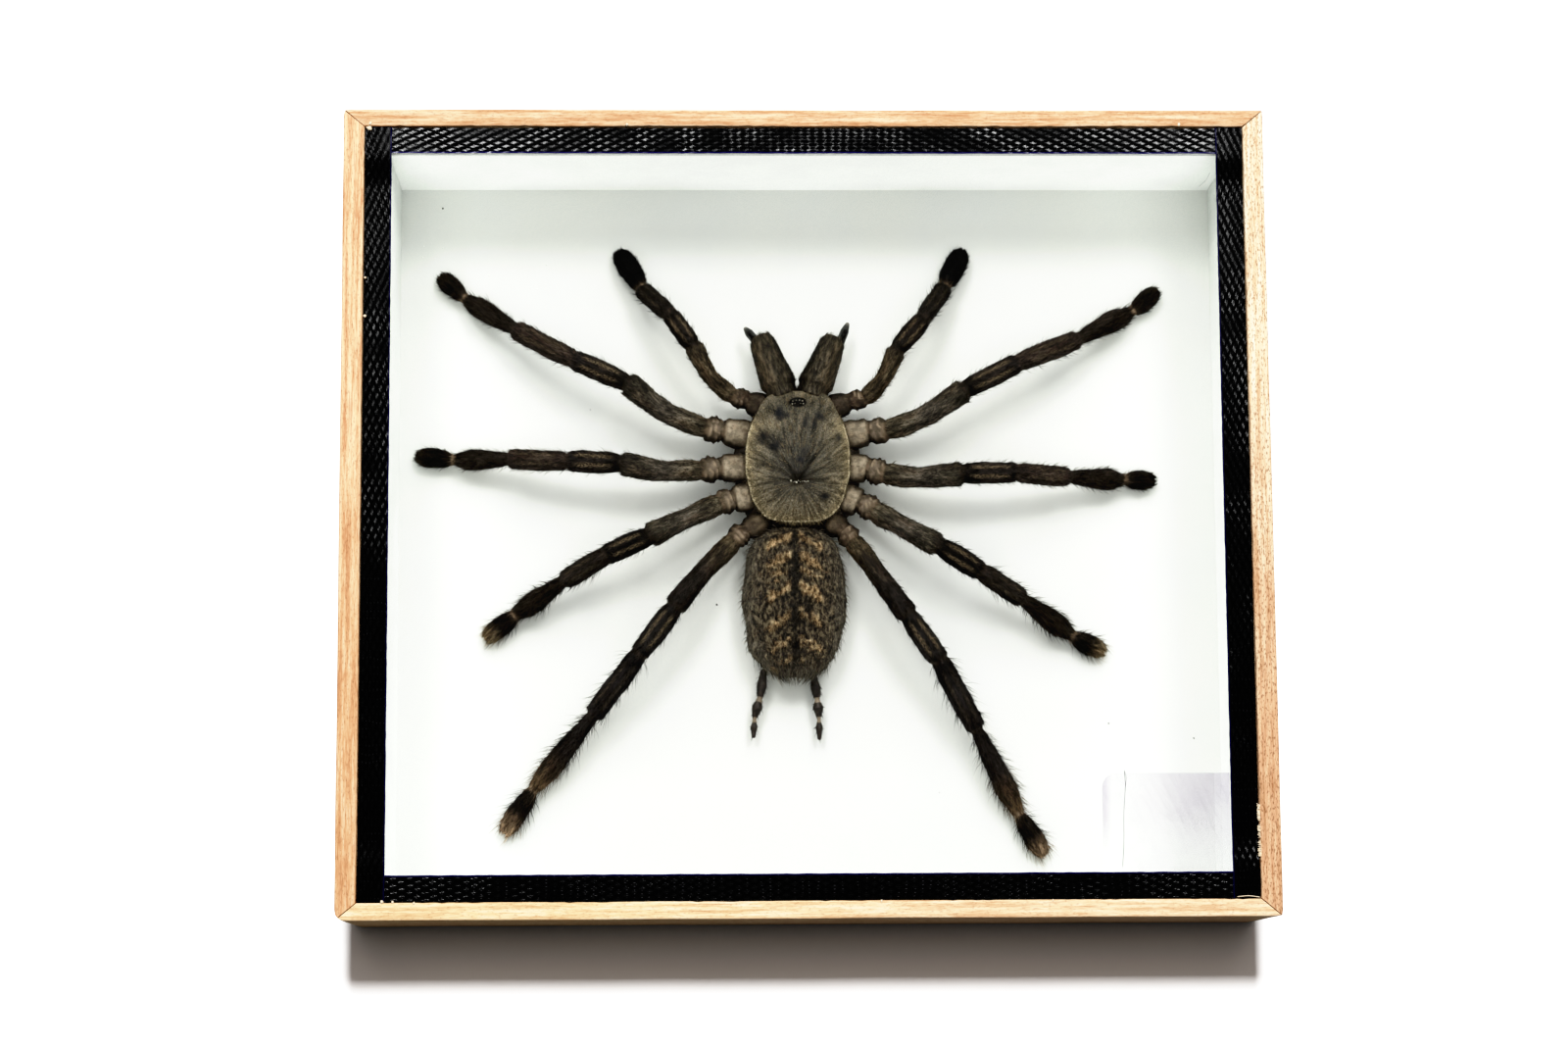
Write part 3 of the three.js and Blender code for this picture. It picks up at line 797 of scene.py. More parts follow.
ABOVE = (1.5, 1.5)                # the size of the broad lamps above the frame
LAMPS = (                         # name, what it lights, lean, turn, distance, size, power
    ("left_softbox", "others", 25, -15, 2.1, (0.38, 0.45), 12.5),
    ("left_card_key", "card", 25, -15, 2.1, (0.38, 0.45), 9.0),
    ("left_glint", "end_tapes", 21, -13.5, 2.1, (0.25, 0.3), 5.8),
    ("left_sheen", "side_tapes", 21, -13.5, 2.1, (0.25, 0.3), 2.0),
    ("right_softbox", "others", 25, 15, 2.1, (0.38, 0.45), 12.5),
    ("right_card_key", "card", 25, 15, 2.1, (0.38, 0.45), 9.0),
    ("right_glint", "end_tapes", 21, 18, 2.1, (0.25, 0.3), 5.8),
    ("right_sheen", "side_tapes", 21, 18, 2.1, (0.25, 0.3), 2.0),
    ("overhead", "matt", -6, 0, 1.5, ABOVE, 13.0),
    ("rail_fill", "rails", 28, 0, 1.5, (1.2, 0.5), 14.0),
    ("card_overhead", "card", -6, 0, 1.5, ABOVE, 10.5),
    ("floor_fill", "floor", 9, 0, 1.5, (0.8, 0.6), 6.0),
    ("card_sky", "card", 40, 0, 1.8, (1.6, 1.1), 15.0),
    ("top_wall_fill", "liner_top", -62, 0, 1.5, (1.0, 1.0), 16.0),
    ("left_wall_fill", "liner_left", 42, 50, 1.5, (1.0, 1.0), 17.5),
    ("right_wall_fill", "liner_right", 42, -50, 1.5, (1.0, 1.0), 17.5),
    ("backdrop", "floor", 17.6, 0, 2.1, (0.16, 0.25), 66.0),
)
LAMP_TINTS = {"floor_fill": (1, 0.87, 0.78)}


def lit_groups(floor, dressed):
    """The groups of pieces that the lamps light, by name."""
    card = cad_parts["mounting_board"]

    def named(*starts):
        return [piece for piece in dressed if piece.name.startswith(starts)]

    tapes = named("tape")
    apart = named("tape", "rail", "glass", "corner_label", "mounting_board")
    groups = {"floor": [floor], "card": [card], "rails": named("rail"),
              "end_tapes": named("tape_top", "tape_bottom"),
              "side_tapes": named("tape_left", "tape_right"),
              "matt": [piece for piece in dressed if piece not in apart],
              "others": [piece for piece in dressed if piece not in tapes and piece != card]}
    for side in ("top", "left", "right"):
        groups["liner_" + side] = [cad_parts["liner_" + side]]
    return groups


def add_studio(floor, dressed):
    """Softboxes to the left and right towards +Y, with pairs of their own for the card's
    shadows and the tape's glints, broad fills from above for the matt pieces, rails, card,
    floor and foam walls, and a small backdrop lamp that burns the floor out to white."""
    groups = lit_groups(floor, dressed)
    for name, group, lean, turn, distance, size, power in LAMPS:
        add_softbox(name, lamp_place(lean, turn, distance), size, power, groups[group],
                    LAMP_TINTS.get(name, (1, 1, 1)))
    world = bpy.data.worlds.new("studio")
    world.use_nodes = True
    background = world.node_tree.nodes["Background"]
    background.inputs["Color"].default_value = (0.98, 0.985, 1.0, 1)
    background.inputs["Strength"].default_value = 0.07
    bpy.context.scene.world = world
    add_contrast(bpy.context.scene.view_settings)


FLOOR_REACH = 3.0


def add_floor():
    """A sheet of pale paper, darker for the light that bounces between it and the part."""
    corners = [(x * FLOOR_REACH, y * FLOOR_REACH, 0)
               for x, y in ((-1, -1), (1, -1), (1, 1), (-1, 1))]
    floor = add_mesh("floor", corners, [[0, 1, 2, 3]], smooth=False)
    floor.location.z = -0.01 * MM
    paper = Finish("floor_paper", roughness=0.9, specular_ior_level=0.1)
    mottle = paper.noise(paper.millimetres(), 0.02, 2)
    bounced = paper.add("ShaderNodeLightPath").outputs["Is Diffuse Ray"]
    colour = paper.ramp(mottle, (0.3, "#f1f1f1"), (0.7, "#f4f4f4"))
    paper.set("Base Color", paper.mix(bounced, colour, "#565656"))
    floor.data.materials.append(paper.material)
    floor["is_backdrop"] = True
    return floor


# ------------------------------------------------------------- the frame --
EASE = 0.25 * MM                  # rounding of the rails' edges
RAIL_STEPS = 150
WORN_CORNERS = {(-1, -1): 1.8 * MM, (1, -1): 0.7 * MM, (-1, 1): 0.6 * MM, (1, 1): 0.3 * MM}
WOOD_TONES = {
    "rail_top": (("#c89a74", "#e4be99", "#f2d7b9"), ("#c69872", "#e1ba95", "#eed3b4"), 0.25),
    "rail_bottom": (("#dfb993", "#f5d6b2", "#fde9cd"), ("#e2be93", "#f7d8ae", "#ffebcd"), 0.25),
    "rail_left": (("#d19f79", "#edc8a2", "#fadcba"), ("#c4936d", "#e1b48b", "#efcfac"), 0.3),
    "rail_right": (("#e0bc98", "#f9e0c0", "#fff1d8"), ("#bf9572", "#dcb290", "#ebcaa7"), 0.6),
}


def rail_section(thickness, depth):
    """The rail's outline across its length: (distance from the outer face, height)."""
    corners = [((EASE, EASE), 180), ((thickness - EASE, EASE), 270),
               ((thickness - EASE, depth - EASE), 0), ((EASE, depth - EASE), 90)]
    between = [5, 14, 8, 14]
    section = []
    for (centre, start), count, (after, _) in zip(corners, between, corners[1:] + corners[:1]):
        arc = [(centre[0] + EASE * math.cos(math.radians(start + turn)),
                centre[1] + EASE * math.sin(math.radians(start + turn)))
               for turn in (0, 30, 60, 90)]
        section += arc
        leave = np.array(arc[-1])
        step = np.array(after) - np.array(centre)
        section += [tuple(leave + step * k / count) for k in range(1, count)]
    return np.array(section)


def round_corners(points):
    """Wears the frame's four upright corners round."""
    low, high = np.array(cad_box[0]), np.array(cad_box[1])
    for (side_x, side_y), radius in WORN_CORNERS.items():
        corner = np.where([side_x > 0, side_y > 0], high[:2], low[:2])
        centre = corner - np.array([side_x, side_y]) * radius
        offset = (points[..., :2] - centre) * (side_x, side_y)
        distance = np.linalg.norm(offset, axis=-1)
        outside = (offset > 0).all(axis=-1) & (distance > radius)
        pull = np.where(outside, radius / np.maximum(distance, 1e-9), 1.0)[..., None]
        points[..., :2] = centre + (points[..., :2] - centre) * pull
    return points


def add_rail(node, seed):
    """A mitred rail: its outline swept along it, with a wavering face and small nicks in
    the inner front edge."""
    low, high = box(node)
    span = high - low
    across_axis = 1 if span[0] > span[1] else 0
    along_axis = 1 - across_axis
    thickness, depth = span[across_axis], span[2]
    outward = 1 if low[across_axis] > 0 else -1
    other_low, other_high = box("rail_left" if across_axis == 1 else "rail_bottom")
    neighbour = (other_high - other_low)[along_axis]
    section = rail_section(thickness, depth)
    reach = span[along_axis] / 2 - neighbour * section[:, 0] / thickness
    along = np.linspace(-1, 1, RAIL_STEPS)[:, None] * reach
    place = np.zeros((RAIL_STEPS, len(section), 3))
    place[..., along_axis] = along
    place[..., 2] = section[:, 1]
    edge = high[across_axis] if outward > 0 else low[across_axis]
    place[..., across_axis] = edge - outward * section[:, 0]
    grain = np.stack([along, lay(section[:, 0], along.shape), lay(section[:, 1], along.shape)],
                     axis=-1)
    wobble = soft_noise(grain * (0.12, 1, 1), 1.5 * MM, seed) * 0.05 * MM
    inner_front = bell(section[:, 0], thickness, 0.5 * MM) * bell(section[:, 1], depth, 0.5 * MM)
    nicks = np.clip(soft_noise(grain * (1, 0, 0), 0.9 * MM, seed + 1) - 0.25, 0, 1)
    place[..., across_axis] += outward * (wobble + nicks * inner_front * 0.22 * MM)
    place[..., 2] -= nicks * inner_front * 0.15 * MM
    place[..., 2] = np.clip(place[..., 2], low[2], high[2])
    place = round_corners(place)
    steps, sides = along.shape
    column = np.arange(sides)
    caps = [column[::-1].tolist(), ((steps - 1) * sides + column).tolist()]
    faces = grid_faces(steps, sides).tolist() + caps
    if outward * (1 if across_axis == 1 else -1) > 0:
        faces = [face[::-1] for face in faces]
    grain = grain / MM + np.array([0, seed * 7.3, seed * 3.1])
    piece = add_mesh(node + "_wood", place.reshape(-1, 3), faces,
                     {"grain": grain.reshape(-1, 3)})
    piece.data.set_sharp_from_angle(angle=math.radians(50))
    finish = wood_finish(node + "_finish", *WOOD_TONES[node])
    place_piece(piece, finish, "wood", node)


WEAVE_ALONG = 2.7 * MM            # one repeat of the weave along the strip
WEAVE_ACROSS = 1.24 * MM          # and across it
WEAVE_HEIGHT = 0.07 * MM
WEAVE_STEPS = 8                   # points to one repeat
THREAD_HEIGHT = 0.024 * MM        # finer relief of the threads, by bump
THREAD_EDGE = 0.6                 # share of the weave's swing where a thread's flat top ends
TAPE_RAMP = 6.0 * MM              # how far a side strip climbs onto the ones it crosses
TAPE_FIT = 0.1 * MM
HEM_WIDTH = 0.2 * MM


def tape_faces(rows, columns):
    """The faces of a strip: the woven top, both long sides, the underside and the ends.
    The underside's two rows of points come after the top's."""
    faces = grid_faces(rows, columns, closed=False)[:, [0, 3, 2, 1]].tolist()
    base = rows * columns
    for row in range(rows - 1):
        left, right = base + 2 * row, base + 2 * row + 1
        faces.append([left, right, right + 2, left + 2])
        faces.append([row * columns, left, left + 2, (row + 1) * columns])
        edge_here, edge_next = (row + 1) * columns - 1, (row + 2) * columns - 1
        faces.append([edge_here, edge_next, right + 2, right])
    faces.append([*range(columns), base + 1, base])
    faces.append([*range(base - 1, base - columns - 1, -1), base + 2 * rows - 2,
                  base + 2 * rows - 1])
    return faces


def tape_base(run, crosses):
    """The height of a strip's underside, and a strip's thickness. A strip that crosses
    the top and bottom ones climbs onto them at its ends."""
    low, high = box("tape_top")
    step = high[2] - low[2]
    raised = np.zeros_like(run)
    if crosses:
        flat_end = low[1] - TAPE_FIT
        raised = smooth_step(np.abs(run), flat_end - TAPE_RAMP, flat_end) * step
    return low[2] + raised, step


def tape_marks(inward, run_turn, across_turn, pressed, flat, seed):
    """The hem along the inner edge, and each point's place in the weave, which wanders
    a little. The underside's points have neither."""
    cloth = np.stack([run_turn + 0.6 * soft_noise(flat, 1.6 * MM, seed),
                      across_turn + 0.4 * soft_noise(flat, 2.2 * MM, seed + 1), pressed],
                     axis=-1)
    under = 2 * len(inward)
    return {"hem": np.concatenate([bell(inward, 0, HEM_WIDTH).ravel(), np.zeros(under)]),
            "cloth": np.vstack([cloth.reshape(-1, 3), np.zeros((under, 3))])}


def add_tape(node, material, seed):
    """A strip of cloth tape: a woven top on a thin flat body. The side strips rise at
    their ends, over the top and bottom ones."""
    low, high = box(node)
    span = high - low
    along_axis = 0 if span[0] > span[1] else 1
    across_axis = 1 - along_axis
    length, width = span[along_axis], span[across_axis]
    rows = int(length / WEAVE_ALONG * WEAVE_STEPS)
    columns = int(round(width / WEAVE_ACROSS * WEAVE_STEPS))
    run = np.linspace(low[along_axis], high[along_axis], rows)
    across = np.linspace(0, width, columns)
    run_grid, across_grid = np.meshgrid(run, across, indexing="ij")
    run_turn = 2 * math.pi * run_grid / WEAVE_ALONG
    across_turn = 2 * math.pi * across_grid / WEAVE_ACROSS
    weave = np.cos(run_turn) * np.clip(np.cos(across_turn) / THREAD_EDGE, -1, 1)
    flat = np.stack([run_grid, across_grid, np.zeros_like(run_grid)], axis=-1)
    pressed = 0.55 + 0.45 * soft_noise(flat, 4 * MM, seed)
    edge = np.minimum(across_grid, width - across_grid)
    relief = weave * pressed * WEAVE_HEIGHT / 2 * smooth_step(edge, 0.02 * MM, 0.3 * MM)
    sag = soft_noise(flat * (0.3, 1, 1), 3 * MM, seed + 1) * 0.05 * MM
    under, step = tape_base(run_grid, along_axis == 1)
    edge_wander = soft_noise(flat * (1, 0, 0), 2.5 * MM, seed + 2) * 0.06 * MM
    shift = (across_grid / width - 0.5) * 2 * edge_wander
    points = np.zeros((rows, columns, 3))
    points[..., along_axis] = run_grid
    points[..., across_axis] = low[across_axis] + across_grid - np.abs(shift) * np.sign(
        across_grid / width - 0.5)
    points[..., 2] = under + step - WEAVE_HEIGHT / 2 + relief + sag * bell(edge, width, width)
    bottom = points[:, [0, -1]].copy()
    bottom[..., 2] = under[:, [0, -1]]
    faces = tape_faces(rows, columns)
    if along_axis == 1:
        faces = [face[::-1] for face in faces]
    inward = across_grid if low[across_axis] > 0 else width - across_grid
    marks = tape_marks(inward, run_turn, across_turn, pressed, flat, seed + 3)
    piece = add_mesh(node + "_cloth", np.vstack([points.reshape(-1, 3), bottom.reshape(-1, 3)]),
                     faces, marks)
    piece.data.set_sharp_from_angle(angle=math.radians(60))
    place_piece(piece, material, "tape", node)


def dress_node(node, material):
    """A CAD node whose shape is right keeps it and takes a better material."""
    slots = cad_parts[node].data.materials
    slots.clear()
    slots.append(material)


def add_frame():
    for seed, node in enumerate(WOOD_TONES):
        add_rail(node, 11 + seed)
    tape = tape_finish()
    for seed, node in enumerate(("tape_top", "tape_bottom", "tape_left", "tape_right")):
        add_tape(node, tape, 31 + 5 * seed)
    foam = foam_finish()
    for side in ("top", "bottom", "left", "right"):
        dress_node("liner_" + side, foam)
    dress_node("mounting_board", card_finish())
    dress_node("back_panel", hardboard_finish())
    dress_node("glass", glass_finish())
    dress_node("corner_label", label_finish())


# ----------------------------------------------------------- small marks --
def lump(place, normal, radius, height, sides=12, rows=4, wobble=0.0, draw=None):
    """A small closed dome that stands on a surface. wobble makes its outline ragged."""
    first = unit(np.cross(normal, [0.3, 1.0, 0.2]))
    second = np.cross(normal, first)
    points, faces = [], []
    for row in range(rows):
        tilt = math.pi / 2 * row / rows
        for side in range(sides):
            turn = 2 * math.pi * side / sides
            size = radius * (1 + (draw.uniform(-wobble, wobble) if draw is not None else 0))
            spoke = first * math.cos(turn) + second * math.sin(turn)
            points.append(place + spoke * size * math.cos(tilt)
                          + normal * height * math.sin(tilt))
    points.append(place + normal * height)
    for row in range(rows - 1):
        for side in range(sides):
            after = (side + 1) % sides
            faces.append([row * sides + side, row * sides + after,
                          (row + 1) * sides + after, (row + 1) * sides + side])
    last = (rows - 1) * sides
    faces += [[last + side, last + (side + 1) % sides, rows * sides] for side in range(sides)]
    faces.append(list(range(sides))[::-1])
    return np.array(points), faces


def join_parts(parts):
    points, faces = [], []
    for part_points, part_faces in parts:
        start = len(points)
        points += list(part_points)
        faces += [[start + corner for corner in face] for face in part_faces]
    return points, faces


def add_bits(name, parts, material, slot):
    """One piece of several small parts."""
    place_piece(add_mesh(name, *join_parts(parts)), material, slot)


def fibre(corners, radius, steps=14, sides=5):
    """A thin closed thread through its corners, pointed at both ends."""
    corners = np.array(corners, float) * MM
    share = np.linspace(0, len(corners) - 1, steps)
    path = soften(resample(corners, np.arange(len(corners)), share), 1.2)
    up, across = cross_axes(unit(np.gradient(path, axis=0)))
    angle = 2 * math.pi * np.arange(sides) / sides
    rings = path[1:-1, None] + radius * (up[1:-1, None] * np.sin(angle)[:, None]
                                         + across[1:-1, None] * np.cos(angle)[:, None])
    inwards = skin_normals(rings)[1]
    return (np.vstack([path[0], rings.reshape(-1, 3), path[-1]]),
            skin_faces(steps - 2, sides, bool(inwards)))


DARK_SPECKS = ((-64.7, 59.0, 0.16), (54.7, 37.8, 0.2), (-15.4, -13.3, 0.2), (54.3, -34.8, 0.14),
               (69.5, -37.5, 0.14), (-38.0, 22.0, 0.1), (24.0, -47.0, 0.1))
PALE_SPECKS = 70
PALE_SPECK_CORNER = (-70.0, 40.0)
PALE_SPECK_SPREAD = (26.0, 16.0)
CHIPS = ((-30.9, 67.35, 0.3), (65.3, 67.4, 0.35), (-75.6, 66.7, 0.5), (-75.4, 67.5, 0.35),
         (-66.7, -67.1, 0.3), (-72.1, -66.9, 0.35), (-70.3, -66.9, 0.25), (-76.0, 40.2, 0.25),
         (-76.0, 33.5, 0.3), (12.0, -67.15, 0.25), (41.0, -67.1, 0.2))
TORN_PATCHES = ((76.35, -52.4, 40), (76.35, -55.8, 22), (76.35, -58.6, 30))
BENT_FIBRE = ((72.1, -66.7, 31.85), (74.2, -66.5, 31.95), (76.3, -66.8, 31.9))
LABEL_HAIR = ((53.56, -45.1, 0.14), (53.75, -47.5, 0.16), (53.35, -52.5, 0.15),
              (53.3, -57.5, 0.15), (52.97, -61.8, 0.14))
HAIR_FORK = ((53.6, -45.1, 0.16), (53.95, -46.6, 0.17), (53.6, -48.6, 0.16))
SCRATCH = ((70.8, 59.2, 0.02), (69.9, 57.6, 0.02), (68.5, 56.4, 0.02))


def add_specks():
    """Dark specks and pale dust on the card."""
    draw = np.random.default_rng(61)
    card_top = box("mounting_board")[1][2] - 0.01 * MM
    dark = [lump(np.array([x * MM, y * MM, card_top]), UP, size * MM, 0.6 * size * MM, 7, 2,
                 0.35, draw) for x, y, size in DARK_SPECKS]
    add_bits("card_specks", dark, mottled_finish("dark_dust", "#1b1814", "#3a342b",
                                                 roughness=0.8), "card")
    pale = []
    for across, ahead, size in draw.random((PALE_SPECKS, 3)):
        spot = np.array(PALE_SPECK_CORNER) + (across * PALE_SPECK_SPREAD[0],
                                              ahead * PALE_SPECK_SPREAD[1])
        size = (0.06 + 0.1 * size ** 2) * MM
        pale.append(lump(np.array([*(spot * MM), card_top]), UP, size, 0.8 * size, 6, 2, 0.3,
                         draw))
    add_bits("card_dust", pale, mottled_finish("pale_dust", "#f4f4f2", "#ffffff",
                                               roughness=0.8), "card")


def add_rail_chips():
    """Chips of gesso and torn fibres along the rails' inner edges."""
    draw = np.random.default_rng(62)
    top = cad_box[1][2]
    chips = [lump(np.array([x * MM, y * MM, top - 0.12 * MM]), UP, size * MM, 0.2 * MM, 8, 2,
                  0.45, draw) for x, y, size in CHIPS]
    for x, y, count in TORN_PATCHES:
        for _ in range(count):
            y_from = y + draw.uniform(-1.4, 1.4)
            y_to = y_from + draw.uniform(-0.2, 0.4)
            reach = draw.uniform(0.12, 0.5)
            chips.append(fibre([(x + 0.4, y_from, 31.8), (x - 0.3 * reach, y_from, 31.95),
                                (x - reach, y_to, 31.8)], draw.uniform(0.05, 0.1) * MM, 7, 4))
    chips.append(fibre(BENT_FIBRE, 0.09 * MM))
    add_bits("rail_chips", chips, mottled_finish("pale_chips", "#dcc7a6", "#f7ecd8",
                                                 roughness=0.8), "wood")


def add_glass_marks():
    """A dark hair under the label's edge and a pale scratch in the glass's corner."""
    above = np.array([0, 0, box("glass")[1][2] / MM])
    hair = [fibre(above + LABEL_HAIR, 0.045 * MM, 30), fibre(above + HAIR_FORK, 0.035 * MM)]
    add_bits("label_hair", hair, mottled_finish("dark_thread", "#2c2a2e", "#55525a",
                                                roughness=0.5), "label")
    add_bits("glass_scratch", [fibre(above + SCRATCH, 0.035 * MM)],
             mottled_finish("scratch", "#9fa3a2", "#c9cccb", roughness=0.8), "glass")


def add_marks():
    add_specks()
    add_rail_chips()
    add_glass_marks()


# ------------------------------------------------------------ the spider --
BODY_CENTRE = np.array([-1.0, 10.0, 10.0]) * MM
LIMB_SPACING = 0.45 * MM
LIMB_SIDES = 32
RINGS_PER_SEGMENT = {"coxa": 3, "trochanter": 3, "femur": 6, "patella": 4, "tibia": 4,
                     "metatarsus": 5, "tarsus": 5}
PILE_LENGTH = {"coxa": 0.45, "trochanter": 0.4, "femur": 0.75, "patella": 0.8, "tibia": 0.9,
               "metatarsus": 1.0, "tarsus": 0.9}
BRISTLE_LENGTH = {"coxa": 0.7, "trochanter": 0.9, "femur": 1.2, "patella": 1.5, "tibia": 1.7,
                  "metatarsus": 1.7, "tarsus": 1.2}
RING_STRENGTH = {"tarsus": 1.0, "trochanter": 0.4, "femur": 0.5, "metatarsus": 0.15,
                 "patella": 0.1, "tibia": 0.15}
CREASE_STRENGTH = {"tarsus": 0.0, "patella": 1.0, "trochanter": 1.0, "femur": 0.9,
                   "metatarsus": 0.6, "tibia": 0.3}


def segment_bounds(arc, segments):
    """Where each segment ends along the limb: midway between neighbouring rings."""
    bounds, ring = [0.0], 0
    for segment in segments[:-1]:
        ring += RINGS_PER_SEGMENT[segment]
        bounds.append((arc[ring] + arc[ring + 1]) / 2)
    return np.array(bounds + [arc[-1]])


FOLD_SPACING = 0.95               # between the trochanter's folds, in mm
ROOT_PLACES = (0, 0.6, 1.1, 1.7, 2.4)   # in segments from the hip
ROOT_GIRTHS = {"leg": (1.0, 1.22, 1.1, 1.22, 1.0), "pedipalp": (1.4, 1.55, 1.3, 1.4, 1.0)}


def thicken_root(loft, bounds, girths):
    """Makes the coxa, the trochanter and the femur's root as stout as they are."""
    place = np.interp(loft.run, bounds[:4], [0, 1, 2, 3])
    extra = np.interp(place, ROOT_PLACES, girths)
    offset = loft.points - loft.path[:, None]
    wide = soften(extra[:, None], 1.5)[:, 0]
    across = loft.across[:, None] * np.sum(offset * loft.across[:, None], -1)[..., None]
    loft.points = loft.points + across * (wide - 1)[:, None, None]


STRIPES_AT = (62, 118)            # degrees around the limb, with 90 on top
# Where the bands of painted shade lie, just under the femur's sides.
UNDER_EDGES_AT = (196, 344)


def bands_around(loft, middles, width):
    """Bands along a limb, at some angles around it."""
    degrees = np.degrees(loft.angle)
    return sum(bell(degrees, middle, width) for middle in middles)[None]


def bald_stripes(loft, names, part):
    """The two bald stripes along the top of the patella and, fainter, of the tibia."""
    inside = smooth_step(part, 0.1, 0.25) * (1 - smooth_step(part, 0.78, 0.92))
    striped = np.isin(names, ["patella", "tibia"]) * inside
    strength = np.where(names == "patella", 0.85, 0.3)[:, None]
    return striped[:, None] * bands_around(loft, STRIPES_AT, 6) * strength


def limb_height(loft, gap, bald, folds, calm, grain, seed):
    """How far a limb's skin stands off its loft. gap is each row's distance past its
    nearest joint, which is necked beyond and flared before."""
    joint = bell(gap, 0, 0.3 * MM)
    neck = np.where(gap > 0, np.exp(-gap / (0.9 * MM)), 0)
    flare = np.where(gap <= 0, bell(gap, -0.45 * MM, 0.45 * MM), 0)
    half = loft.half[:, :1]
    height = half * (0.05 * flare - 0.12 * joint - 0.1 * neck)[:, None] - 0.05 * half * bald
    height += 0.1 * half * folds
    height += soft_noise(loft.points, 1.2 * MM, seed + 4) * 0.2 * MM * calm
    height += soft_noise(loft.points, 2.6 * MM, seed) * 0.13 * MM
    height += soft_noise(grain * (1, 1.6, 1.6), 0.3, seed + 1) * 0.07 * MM
    height += soft_noise(loft.points, 0.7 * MM, seed + 2) * 0.04 * MM
    return height


def limb_skin(node, segments, seed):
    loft = sample_loft(node, BODY_CENTRE, LIMB_SPACING, LIMB_SIDES, 0.9 * MM, 0.3 * MM)
    bounds = segment_bounds(loft.arc, segments)
    thicken_root(loft, bounds, ROOT_GIRTHS["leg" if "metatarsus" in segments else "pedipalp"])
    number = np.clip(np.searchsorted(bounds, loft.run) - 1, 0, len(segments) - 1)
    part = (loft.run - bounds[number]) / np.diff(bounds)[number]
    names = np.array(segments)[number]
    sine, cosine = np.sin(loft.angle), np.cos(loft.angle)
    shape = loft.points.shape[:2]
    grain = loft_grain(loft)
    gaps = loft.run[:, None] - bounds[None, 1:-1]
    nearest = np.abs(gaps).argmin(axis=1)
    gap = gaps[np.arange(len(gaps)), nearest]
    beyond = np.array(segments)[nearest + 1]
    pale = np.array([RING_STRENGTH.get(name, 0.25) for name in beyond])
    dark = np.array([CREASE_STRENGTH.get(name, 0.5) for name in beyond])
    bald = bald_stripes(loft, names, part)
    skew = ((loft.run / MM)[:, None] + 0.35 * cosine
            + 0.5 * soft_noise(loft.points, 1.2 * MM, seed + 3))
    folds = (names == "trochanter")[:, None] * np.sin(skew * 2 * math.pi / FOLD_SPACING)
    calm = np.where(np.isin(names, ["coxa", "trochanter"]), 1.0, 0.0)
    calm = np.clip(soften(calm[:, None], 1.0), 0, 1)
    marks = {
        "place": lay(((number + part) / len(segments))[:, None], shape),
        "ring": lay((bell(gap, 0.1 * MM, 0.35 * MM) * pale)[:, None], shape),
        "crease": lay((bell(gap, 0.25 * MM, 0.3 * MM) * dark)[:, None], shape),
        "bald": bald,
        "fold": smooth_step(folds, 0.6, 0.98),
        "calm": lay(calm, shape),
        # painted shade under the femur's sides
        "edge": (names == "femur")[:, None] * bands_around(loft, UNDER_EDGES_AT, 12),
        # painted shade, darker away from the limb's top, used on the coxae and trochanters
        "shade": lay(1 - smooth_step(sine, 0.42, 0.98), shape),
        "grain": grain,
        "across": lay(cosine, shape),
    }
    skin = raise_skin(make_skin(loft.points, loft.first, loft.last, marks),
                      limb_height(loft, gap, bald, folds, calm, grain, seed))
    skin.names = names
    skin.sine = sine
    return skin


def per_row(skin, table, default=0.0):
    """A grid of values from a table by segment name."""
    values = np.array([table.get(name, default) for name in skin.names], float)
    return np.repeat(values[:, None], skin.points.shape[1], axis=1)


def add_limb(node, segments, material, seed, fringe_count, fringe_length):
    """A leg or palp with its pile, its bristles and the long hairs on its sides."""
    skin = limb_skin(node, segments, seed)
    place_piece(add_skin(node + "_skin", skin), material, "limb", node)
    draw = np.random.default_rng(seed)
    plain = 1 - 0.85 * np.clip(skin.marks["bald"] + skin.marks["ring"], 0, 1)
    top = smooth_step(skin.sine, -0.9, -0.2)[None]
    thin = per_row(skin, {"coxa": 0.15, "trochanter": 0.12}, 1.0)
    thick = per_row(skin, {"metatarsus": 1.5, "tarsus": 2.2}, 1.0)
    sides = 0.25 + np.abs(skin.marks["across"]) ** 2
    pile = grow(skin, 4800, draw, plain * thin * thick * (0.15 + top),
                per_row(skin, PILE_LENGTH) * MM, 0.12 * MM, 0.22)
    bristles = grow(skin, 480, draw, thin * thick * (0.2 + top) * sides,
                    per_row(skin, BRISTLE_LENGTH) * MM, 0.08 * MM, 0.6, curve=0.8)
    flanks = np.abs(skin.marks["across"]) ** 2 * per_row(
        skin, {"tibia": 0.35, "metatarsus": 1.0, "tarsus": 1.0})
    long_hair = grow(skin, fringe_count, draw, flanks + 1e-6, fringe_length, 0.07 * MM, 0.6,
                     curve=0.4)
    place_piece(add_hair(node + "_hair", pile, bristles, long_hair), material, "limb")


FRINGES = {"leg_1": (160, 1.3 * MM), "leg_2": (160, 1.3 * MM), "leg_3": (300, 2.3 * MM),
           "leg_4": (420, 2.9 * MM), "pedipalp": (90, 1.0 * MM)}


def add_limbs():
    front = limb_finish("front_leg", SEGMENTS["leg"], FRONT_LEG_COLOURS)
    kinds = {
        "leg_1": front,
        "leg_2": front,
        "leg_3": limb_finish("third_leg", SEGMENTS["leg"], THIRD_LEG_COLOURS),
        "leg_4": limb_finish("hind_leg", SEGMENTS["leg"], HIND_LEG_COLOURS),
        "pedipalp": limb_finish("palp", SEGMENTS["pedipalp"], PALP_COLOURS),
    }
    seeds = itertools.count(100, 10)
    for side in ("left", "right"):
        for kind, material in kinds.items():
            add_limb(f"{kind}_{side}", SEGMENTS[kind.split("_")[0]], material, next(seeds),
                     *FRINGES[kind])


